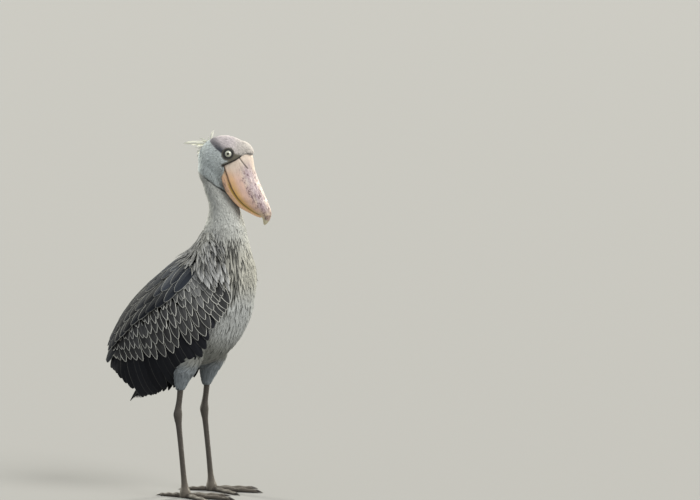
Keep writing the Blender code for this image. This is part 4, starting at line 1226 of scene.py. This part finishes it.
def make_cape(word, side, feather):
    """Loose feathers over the shoulder, from the neck's foot onto the wing."""
    t = np.array(PLUME)[:, 0]
    u, phi, arc = cape_roots()
    count = len(u)
    side_on, back = step(phi, 32, 66), 1 - step(phi, 22, 60)
    fluffy = side_on * step(u - arc, -0.05, 0.10)
    long = (0.95 - 0.45 * side_on - 0.05 * fluffy) * RNG.uniform(0.85, 1.15, count)
    long = long * np.where((side > 0) & (phi > 97), 0.72, 1.0)
    turn = (4 + 12 * side_on) * RNG.uniform(0.6, 1.3, count) * (1 - 0.45 * step(phi, 80, 106))
    at = u[:, None] + long[:, None] * t
    around = phi[:, None] + (turn + RNG.normal(0, 3.5, count))[:, None] * t
    lift = step(u, 0.7, 2.2)[:, None]
    rise = -0.0020 + 0.0030 * lift + (0.0025 + 0.0030 * lift) * t - 0.0080 * (1 - step(t, 0.0, 0.45))
    rise = rise + RNG.normal(0, 0.0010, (count, 1))
    line, up = oval_at(CAPE_ROWS, at, around, rise, side)
    tone = RNG.normal(0, 1, count)
    tint = mixed(
        np.array(SHOULDER) * 1.05,
        (np.array(MANTLE) * 0.8, back),
        (np.array(NECK) * 0.85, (1 - step(u, 1.0, 1.7)) * (1 - back * 0.8)))
    streak = (tone > 0.7) & (back > 0.5)
    # Painted shade: many feathers off the soft shoulder and a few on it are darkened to about a quarter, as
    # the dark gaps between feathers.
    gap = (tone > 0.95 - 0.85 * (1 - fluffy)) & (back < 0.7)
    tint = tint * (np.where(streak, 1.7, np.exp(tone * 0.14)) * np.where(gap, 0.27, 1.0))[:, None]
    # Painted shadow: feathers just above the parting get dark tips, so that a dark line shows where the
    # soft shoulder begins.
    arc_shadow = step(u, arc - 0.75, arc - 0.45) * (u < arc) * step(phi, 80, 88)
    tip = (1.25 + 0.75 * side_on + 0.35 * fluffy) * (1 - 0.80 * arc_shadow)
    # Darkest at the root, as painted shade, and rising to the pale tip.
    shade = np.where(t < 0.5, 0.25 + 0.90 * t, 0.70 + (tip[:, None] - 0.70) * (2 * t - 1))
    half = (0.0046 + 0.0018 * fluffy + 0.0006 * back) * RNG.uniform(0.8, 1.15, count)
    vanes(f"cape_{word}", line, up, half, PLUME, FIVE, 0.25, 0.0007, tint[:, None] * shade[..., None],
          (0.5 + 0.2 * tone, 0.35 + 0.4 * gap, 0.3), feather, "body_plumage",
          roots=skin_map(line[:, 0]), ragged=0.12)


# The rump: shares of the way down the tail, with its half-height and half-width there.
RUMP_ROWS = ((-0.06, 0.010, 0.018), (0.10, 0.015, 0.027), (0.34, 0.012, 0.031), (0.52, 0.004, 0.029))
# Rows of the tail: name, count, from and to along it, spread, width, rise, droop at the edges, colour.
TAIL_TIERS = (
    ("rectrices", 12, 0.0, 1.0, 0.046, 0.032, 0.0, -0.0090, FLIGHT),
    ("tail_coverts_over", 9, -0.05, 0.55, 0.040, 0.030, 0.0120, -0.0060, SLATE),
    ("tail_coverts_under", 9, -0.02, 0.62, 0.038, 0.030, -0.0185, 0.0060, (0.12, 0.13, 0.135)),
)


def make_tail(feather, dark):
    """Tail feathers in a low fan, with coverts over their roots."""
    axis = TAIL_TIP - TAIL_ROOT
    left = np.array((0, 1, 0))
    above = unit(np.cross(left, axis))
    turns = circle(28)
    rump = [spots(TAIL_ROOT + axis * t, (left, wide * np.cos(turns)), (above, high * np.sin(turns)))
            for t, high, wide in along_rows(RUMP_ROWS, 16)]
    dress(tube("rump", rump), dark, "flight_feathers", "tail", tint=(0.02, 0.02, 0.02))
    for name, count, start, end, spread, width, rise, droop, colour in TAIL_TIERS:
        k = np.linspace(-1, 1, count)[:, None]
        t = np.array(LONG)[:, 0]
        share = start + (end - start) * t
        line = spots(TAIL_ROOT, (axis, share[None]),
                     (above, rise * (1 - 0.5 * t)[None] + np.abs(k) * droop),
                     (left, k * (0.015 + (spread - 0.015) * share[None])))
        up = np.broadcast_to(above if rise >= 0 else -above, line.shape)
        tint = np.array(colour) * np.exp(RNG.normal(0, 0.1, (count, 1)))
        half = np.full(count, width / 2)
        vanes(name, line, up, half, LONG, NINE, 0.08, 0.0009, tint, (0.5, 0.08, 0.5), feather,
              "flight_feathers", ragged=0.04)


# Crest feathers: root x, z, side, angle in degrees from forward, length, width, droop.
CREST = (
    (0.046, 1.098, 0.000, 175.5, 0.084, 0.0120, 0.007),
    (0.044, 1.099, 0.002, 175.0, 0.080, 0.0115, 0.007),
    (0.045, 1.097, -0.002, 176.0, 0.081, 0.0115, 0.006),
    (0.044, 1.097, -0.004, 176.5, 0.074, 0.0100, 0.005),
    (0.042, 1.095, 0.006, 179.0, 0.058, 0.0080, 0.003),
    (0.040, 1.092, 0.010, 184.0, 0.040, 0.0070, 0.003),
    (0.040, 1.092, -0.010, 188.0, 0.036, 0.0070, 0.003),
    (0.047, 1.100, 0.003, 73.0, 0.037, 0.0046, -0.005),
    (0.048, 1.100, 0.001, 78.0, 0.032, 0.0044, -0.003),
    (0.050, 1.101, -0.004, 104.0, 0.022, 0.0044, 0.002),
    (0.046, 1.101, -0.003, 152.0, 0.033, 0.0065, 0.003),
    (0.045, 1.101, 0.002, 158.0, 0.028, 0.0060, 0.003),
    (0.032, 1.080, 0.006, 200.0, 0.034, 0.0090, 0.005),
    (0.032, 1.076, -0.005, 208.0, 0.031, 0.0090, 0.005),
    (0.033, 1.083, -0.001, 196.0, 0.032, 0.0085, 0.004),
)


def make_crest(feather):
    """The loose plumes at the back of the crown, three for each of the crest's rows."""
    rows = []
    for x, z, side, angle, length, width, droop in CREST:
        for k in range(3):
            j = RNG.normal(0, 1, 5)
            rows.append((x + 0.002 * j[0], z + 0.001 * j[1], side + 0.0012 * j[2], angle + 0.8 * j[3],
                         length * (1 - 0.10 * k + 0.03 * j[4]), width * (0.85 - 0.15 * k), droop))
    x, z, side, angle, length, width, droop = np.array(rows).T[..., None]
    t = np.array(LONG)[:, 0]
    turn = np.radians(angle)
    far = t * length
    line = in_head(x + far * np.cos(turn), z + far * np.sin(turn) - droop * t**2.2, side * (1 + 0.6 * t))
    up = unit(head_way(-np.sin(turn), np.cos(turn), np.where(side > 0, 1.8, -1.8)))
    tint = np.array((1.0, 1.0, 0.90)) * np.exp(-np.abs(RNG.normal(0, 0.10, (len(rows), 1))))
    vanes("crest", line, np.broadcast_to(up, line.shape), width[:, 0] / 2, LONG, FIVE, 0.24, 0.0007, tint,
          (0.5, 0.3, 0.0), feather, "head_plumage", ragged=0.10)


# Bill

def bill_rings(stations):
    """Rings of the upper bill, with its keel and the groove beside it."""
    at = np.linspace(0, len(UPPER_ROWS) - 1, stations)
    rows = through(UPPER_ROWS, at)
    degrees = np.concatenate([np.linspace(90, 0, 44), np.linspace(0, 90, 44)[1:]])
    sign = np.concatenate([np.full(44, -1.0), np.full(43, 1.0)])
    turn = np.radians(degrees)
    reach = np.hypot(rows[:, 0] - rows[:, 2], rows[:, 1] - rows[:, 3])
    keel = 0.0030 * np.maximum(0, 1 - degrees / 14.0)[None] * np.minimum(1, rows[:, 4:5] / 0.03)
    groove = 0.0011 * np.exp(-((degrees - 24.0) / 4.5) ** 2)[None] * step(at, 2.8, 4.0)[:, None]
    groove = groove * (1 - step(at, 9.5, 11.0))[:, None]
    share = (1 - np.cos(turn))[None] - (keel - groove) / np.maximum(reach, 0.001)[:, None]
    x, z = across(rows.T[..., None], share)
    return at, degrees, x, z, rows[:, 4:5] * np.sin(turn) ** 0.85 * sign


NOSTRIL_LINE = ((0.1545, 1.0575), (0.1665, 1.0420), (0.1797, 1.0245))


def make_upper_bill(material):
    """The upper bill, with the slits of the nostrils, and its colours from the keel to the edge, with a
    painted shadow line along the edge and painted shade in the slits.
    """
    at, degrees, x, z, side = bill_rings(220)
    slit = np.abs(from_line(x, z, NOSTRIL_LINE))
    # How deep the nostril slits are; the material also paints them near black as painted shade.
    deep = np.exp(-(slit / 0.0014) ** 2) * step(np.abs(side), 0.012, 0.020)
    side = side - np.sign(side) * 0.0022 * deep
    lump = np.sin(at * 5.1 + 1.0)[:, None] * np.sin(np.radians(degrees) * 3 + at[:, None]) * 0.0003
    side = side + np.sign(side) * lump * step(np.abs(side), 0.004, 0.02)
    lo, de = (np.broadcast_to(k, x.shape) for k in (at[:, None] - 2, degrees))
    colour = mixed(
        (0.64, 0.54, 0.45),
        ((0.47, 0.385, 0.40), step(de, 8, 20) * (1 - step(de, 34, 56)) * step(lo, 0.6, 2.4)),
        ((0.68, 0.44, 0.36), step(de, 44, 62) * step(lo, 1.2, 3.0) * 0.8),
        ((0.70, 0.43, 0.22), step(de, 66, 82) * step(lo, 1.0, 3.0)),
        ((0.66, 0.40, 0.10), step(de, 78, 86) * step(lo, 2.6, 4.4)),
        ((0.72, 0.58, 0.38), step(lo, 6.2, 7.8) * 0.75),
        ((0.62, 0.58, 0.40), step(lo, 8.0, 8.8)),
        # Painted shadow: a dark brown line along the edge, in the gap over the lower bill.
        ((0.13, 0.065, 0.030), step(de, 86.0, 88.5) * step(lo, 0.2, 1.0) * (1 - step(lo, 7.6, 8.4))))
    blotch = (0.10 + 0.90 * step(lo, 1.2, 3.0)) * (1 - step(de, 50, 72)) * (1 - step(lo, 8.2, 8.9))
    made = tube("bill_upper_horn", in_head(x, z, side))
    dress(made, material, "bill", "bill_upper", tint=colour,
          kind=triples(blotch, 0.45 + 0.55 * step(lo, 4.5, 7.0), deep))
    return made


def make_lower_bill(material):
    """The lower bill, a deep trough, golden along its edge, with painted shadow darkening it under its
    keel.
    """
    at = np.linspace(0, len(LOWER_ROWS) - 1, 180)
    rows = through(LOWER_ROWS, at)
    turn = np.linspace(0, math.pi, 72)
    wave = np.sign(np.cos(turn)) * np.abs(np.cos(turn)) ** 0.45
    share = np.sin(turn) ** 0.6
    x, z = across(rows.T[..., None], share)
    rim = (1 - step(share, 0.14, 0.30))[None] * np.ones(x.shape)
    side = rows[:, 4:5] * wave * (1 + 0.02 * rim)
    lo, low = (np.broadcast_to(k, x.shape) for k in (at[:, None], share))
    colour = mixed(
        (1.0, 0.62, 0.37),
        ((0.70, 0.55, 0.36), 1 - step(lo, 0.2, 1.4)),
        ((0.76, 0.47, 0.085), rim * step(lo, 1.2, 2.6) * (1 - step(lo, 6.0, 7.5))),
        # Painted shadow: dark red-brown along the lower margin, under the keel.
        ((0.27, 0.115, 0.060), step(low, 0.82, 1.0) * 0.85))
    blotch = 0.62 * step(lo, 0.6, 1.4) * (1 - step(lo, 3.0, 4.5)) * step(low, 0.30, 0.55)
    made = tube("bill_lower_horn", in_head(x, z, side))
    dress(made, material, "bill", "bill_lower", tint=colour, kind=triples(blotch, 0.6, 0.0))
    return made


# Eyes

def eye_frame(side):
    """The eye's centre and its directions outwards, forward and up."""
    out = unit(head_way(0.16, 0.10, side * 1.0))
    up = np.array((0.0, 0.0, 1.0))
    up = unit(up - (up @ out) * out)
    return in_head(*EYE_AT, side * EYE_OUT), out, np.cross(up, out) * side, up


def make_eye(word, side, material):
    """An eyeball that swells a little over the pupil."""
    centre, out, ahead, up = eye_frame(side)
    polar, turn = np.linspace(0.01, math.pi - 0.01, 48)[:, None], circle(64)[None]
    radius = EYE_RADIUS * 0.985 * (1 + 0.10 * np.exp(-(polar / 0.62) ** 2))
    made = tube(f"eyeball_{word}", spots(
        centre, (out, radius * np.cos(polar)), (ahead, radius * np.sin(polar) * np.cos(turn)),
        (up, radius * np.sin(polar) * np.sin(turn))))
    flat = np.where(polar < math.pi / 2, np.sin(polar), 1.0)
    dress(made, material, "eye", f"eye_{word}", kind=triples(flat, turn, 0.0))


# The lids' rims: name, radius, thickness, depth, from and to in degrees, colour.
LIDS = (
    ("lid", 0.0128, 0.0024, 0.0062, 0, 360, (0.008, 0.008, 0.008)),
    ("lid_outer", 0.0155, 0.0017, 0.0054, 0, 360, (0.030, 0.028, 0.024)),
    ("lid_fold", 0.0215, 0.0017, 0.0035, 195, 285, PALE_FOLD),
)


def make_lids(word, side, material):
    """The dark rim round the eye, in two creased folds, and a paler fold below it."""
    centre, out, ahead, up = eye_frame(side)
    small = circle(16)[None]
    for name, ring, thick, depth, low, high, colour in LIDS:
        whole = high - low == 360
        turns = np.radians(np.linspace(low, high, 97))[:, None]
        fade = 1.0 if whole else np.sin(np.linspace(0.12, math.pi - 0.12, 97))[:, None] ** 0.5
        size = thick * fade * (1 + 0.10 * np.sin(turns * 17) + 0.06 * np.sin(turns * 31 + 1))
        far = ring * (1 + 0.05 * np.cos(turns * 2)) + size * np.cos(small)
        points = spots(centre, (out, depth + size * 0.9 * np.sin(small)), (ahead, far * np.cos(turns)),
                       (up, far * np.sin(turns)))
        if whole:
            made = closed_piece(f"{name}_{word}", points, grid_faces(97, 16, True))
        else:
            made = tube(f"{name}_{word}", points)
        dress(made, material, "bare_skin", tint=colour, kind=(1.0, 0.0, 0.0))


# Legs

def leg_path(side):
    """The leg's stations: x, z, y and radius."""
    foot, hip = side * FOOT_Y, side * hip_y(THIGH_ROWS[-1][1])
    return (
        (-0.0210, 0.3400, hip, 0.0085), (-0.0215, 0.3326, hip, 0.0088), (-0.0249, 0.3036, hip, 0.0084),
        (-0.0284, 0.2800, hip, 0.0097), (-0.0300, 0.2600, hip, 0.0128), (-0.0290, 0.2420, hip, 0.0110),
        (-0.0260, 0.2150, hip, 0.0084), (-0.0168, 0.1250, foot, 0.0077), (-0.0105, 0.0600, foot, 0.0084),
        (-0.0075, 0.0350, foot, 0.0111), (-0.0060, 0.0190, foot, 0.0160), (-0.0060, 0.0070, foot, 0.0165),
        (-0.0060, 0.0003, foot, 0.0135))


def make_leg(word, side, scaled, horn):
    """A leg from under the feathers to the foot, with scutes down its front, and its toes and claws."""
    rows = along_rows(leg_path(side), 220)
    turns = circle(40)
    z = rows[:, 1:2]
    front = step(np.cos(turns), 0.1, 0.7)[None] * step(z, 0.03, 0.05)
    scute = np.abs(2 * np.mod(z / 0.0062 + 0.15 * np.sin(3 * turns), 1.0) - 1)
    size = rows[:, 3:4] * (1 + 0.06 * np.cos(2 * turns)) + 0.0005 * (1 - scute**6) * front
    x = rows[:, 0:1] + AHEAD[side] + size * np.cos(turns)
    made = tube(f"leg_scaled_{word}", triples(x, rows[:, 2:3] + size * np.sin(turns), z))
    dress(made, scaled, "bare_skin", f"leg_{word}",
          kind=triples(1 - step(z, 0.0, 0.10), scute**10 * front, 0.0))
    for toe in TOES:
        make_toe(word, side, scaled, *toe)
        make_claw(word, side, horn, *toe)


def toe_frame(side, heading):
    """Where a toe starts, and the directions ahead of it, across it and up."""
    turn = math.radians(-side * heading)
    start = np.array((FOOT_X + AHEAD[side], side * FOOT_Y, 0.0))
    return (start, np.array((math.cos(turn), math.sin(turn), 0)),
            np.array((-math.sin(turn), math.cos(turn), 0)), np.array((0, 0, 1)))


def make_toe(word, side, scaled, label, heading, length, radius):
    """A toe with its pads and scutes, closed round the claw."""
    start, way, beside, up = toe_frame(side, heading)
    t, turns = np.linspace(0, 1, 120)[:, None], circle(32)[None]
    closing = 0.85 * np.clip((t - 0.90) / 0.10, 0, 1)
    size = radius * (1 - 0.34 * t) * (1 + 0.10 * np.cos(6 * math.pi * t)) * np.sqrt(1 - closing**2)
    above = step(np.sin(turns), 0.2, 0.8)
    scute = np.abs(2 * np.mod(t * length / 0.0048, 1.0) - 1)
    ridge = 0.00045 * (1 - scute**6) * above
    level = size * 0.80 + 0.002 * (1 - t) + (size * 0.95 + ridge) * np.sin(turns)
    made = tube(f"toe_scaled_{label}_{word}", spots(
        start, (way, 0.004 + (length - 0.001) * t), (beside, size * np.cos(turns)),
        (up, np.maximum(0.0, level))))
    dress(made, scaled, "bare_skin", f"toe_{label}_{word}", kind=triples(0.6, scute**10 * above, 0.0))


def make_claw(word, side, horn, label, heading, length, radius):
    """A claw that comes out of the toe's end and curves down to the floor."""
    start, way, beside, up = toe_frame(side, heading)
    t, turns = np.linspace(0, 1, 40)[:, None], circle(24)[None]
    base = radius * 0.64
    size = base * (1 - 0.86 * t) * (0.75 + 0.25 * step(t, 0.0, 0.2))
    height = base * 0.80 * (1 - t**1.7) + size * 0.1 + 0.0008
    made = tube(f"claw_horn_{label}_{word}", spots(
        start, (way, length - 0.003 + 0.0243 * t), (beside, size * 0.8 * np.cos(turns)),
        (up, np.maximum(0.0008, height + size * 1.05 * np.sin(turns)))))
    dress(made, horn, "claw", f"claw_{label}_{word}", kind=triples(t + 0 * turns, 0.0, 0.0))


# Stage, lights and camera

# The camera: degrees round from the bird's right side and above level, scale, and the origin's pixel.
AZIMUTH = math.radians(20.0)
ELEVATION = math.radians(5.0)
PIXELS_PER_METRE = 320.0
PIXEL_ORIGIN = (197.0, 494.0)
DISTANCE = 12.0
FRAME = (700.0, 500.0)
SENSOR_MM = 36.0
FLOOR_REACH = 150
# Lights: name, place to the right, back and up, softness in degrees, power, colour.
LIGHTS = (
    ("key", (2.4, 2.2, 2.8), 28.0, 2.90, (1.0, 0.975, 0.92)),
    ("rim_front", (2.6, -2.2, 2.0), 10.0, 4.4, (1.0, 0.96, 0.82)),
    ("rim_back", (-2.6, -2.0, 2.0), 9.0, 4.2, (1.0, 0.97, 0.84)),
)


def view_axes():
    """The camera's directions to the right, up, and back from the bird."""
    right = np.array((math.cos(AZIMUTH), math.sin(AZIMUTH), 0.0))
    level = math.cos(ELEVATION)
    back = np.array((math.sin(AZIMUTH) * level, -math.cos(AZIMUTH) * level, math.sin(ELEVATION)))
    return right, np.cross(back, right), back


def make_floor():
    """A pale floor of plain paper."""
    corners = [(x * FLOOR_REACH, y * FLOOR_REACH, 0) for x, y in ((-1, -1), (1, -1), (1, 1), (-1, 1))]
    floor = mesh_piece("floor", corners, [(0, 1, 2, 3)], False, False)
    g = Graph("floor_paper")
    grain = g.add("TexNoise", None, Scale=30.0, Detail=3.0).outputs[0]
    floor.data.materials.append(g.finish((0.185, 0.185, 0.183), 0.9, g.bump(grain, 0.05, 0.001)))


def make_lights(right, up, back):
    """Soft studio light: a pale room, a key light and two rims."""
    world = bpy.data.worlds.new("studio")
    bpy.context.scene.world = world
    world.use_nodes = True
    background = world.node_tree.nodes["Background"]
    background.inputs[0].default_value = (0.80, 0.83, 0.86, 1)
    background.inputs[1].default_value = 0.66
    for name, at, softness, power, colour in LIGHTS:
        light = bpy.data.lights.new(name, "SUN")
        light.angle = math.radians(softness)
        light.energy = power
        light.color = colour
        spot = right * at[0] + back * at[1] + up * at[2]
        link(name, light).rotation_euler = Vector(spot).to_track_quat("Z", "Y").to_euler()


def make_camera(right, up, back):
    """The camera at the photo's angle and scale."""
    camera = bpy.data.cameras.new("camera")
    camera.lens = PIXELS_PER_METRE * SENSOR_MM * DISTANCE / FRAME[0]
    camera.clip_end = 400.0
    over = (FRAME[0] / 2 - PIXEL_ORIGIN[0]) / PIXELS_PER_METRE
    high = (PIXEL_ORIGIN[1] - FRAME[1] / 2) / PIXELS_PER_METRE
    spot = SHIFT + right * over + up * high + back * DISTANCE
    held = link("camera", camera)
    held.matrix_world = Matrix((*np.column_stack([right, up, back, spot]).tolist(), (0, 0, 0, 1)))
    bpy.context.scene.camera = held


def main():
    axes = view_axes()
    make_floor()
    make_lights(*axes)
    make_camera(*axes)
    bpy.context.scene.view_settings.view_transform = "Standard"
    soft = plumage("plumage_soft", 0.80, (0.50, 0.50, 0.46), 0.0016, 0.0014, 0.25)
    firm = plumage("plumage_wing", 0.68, (0.78, 0.78, 0.73), 0.0023, 0.0020, 0.05)
    bare, horn, scaled, claws = skin_material(), bill_material(), scale_material(), claw_material()
    iris = eye_material()
    skin, skin_points = make_skin(bare)
    bills = [tree_of(made) for made in (make_upper_bill(horn), make_lower_bill(horn))]
    arms = []
    for word, side in SIDES:
        make_eye(word, side, iris)
        make_lids(word, side, bare)
        make_leg(word, side, scaled, claws)
        arms.append(make_wing(word, side, firm, bare))
        make_cape(word, side, soft)
    make_tail(firm, bare)
    make_crest(soft)
    make_coat(Ground(skin_points, skin.data, bills, arms), soft)


main()
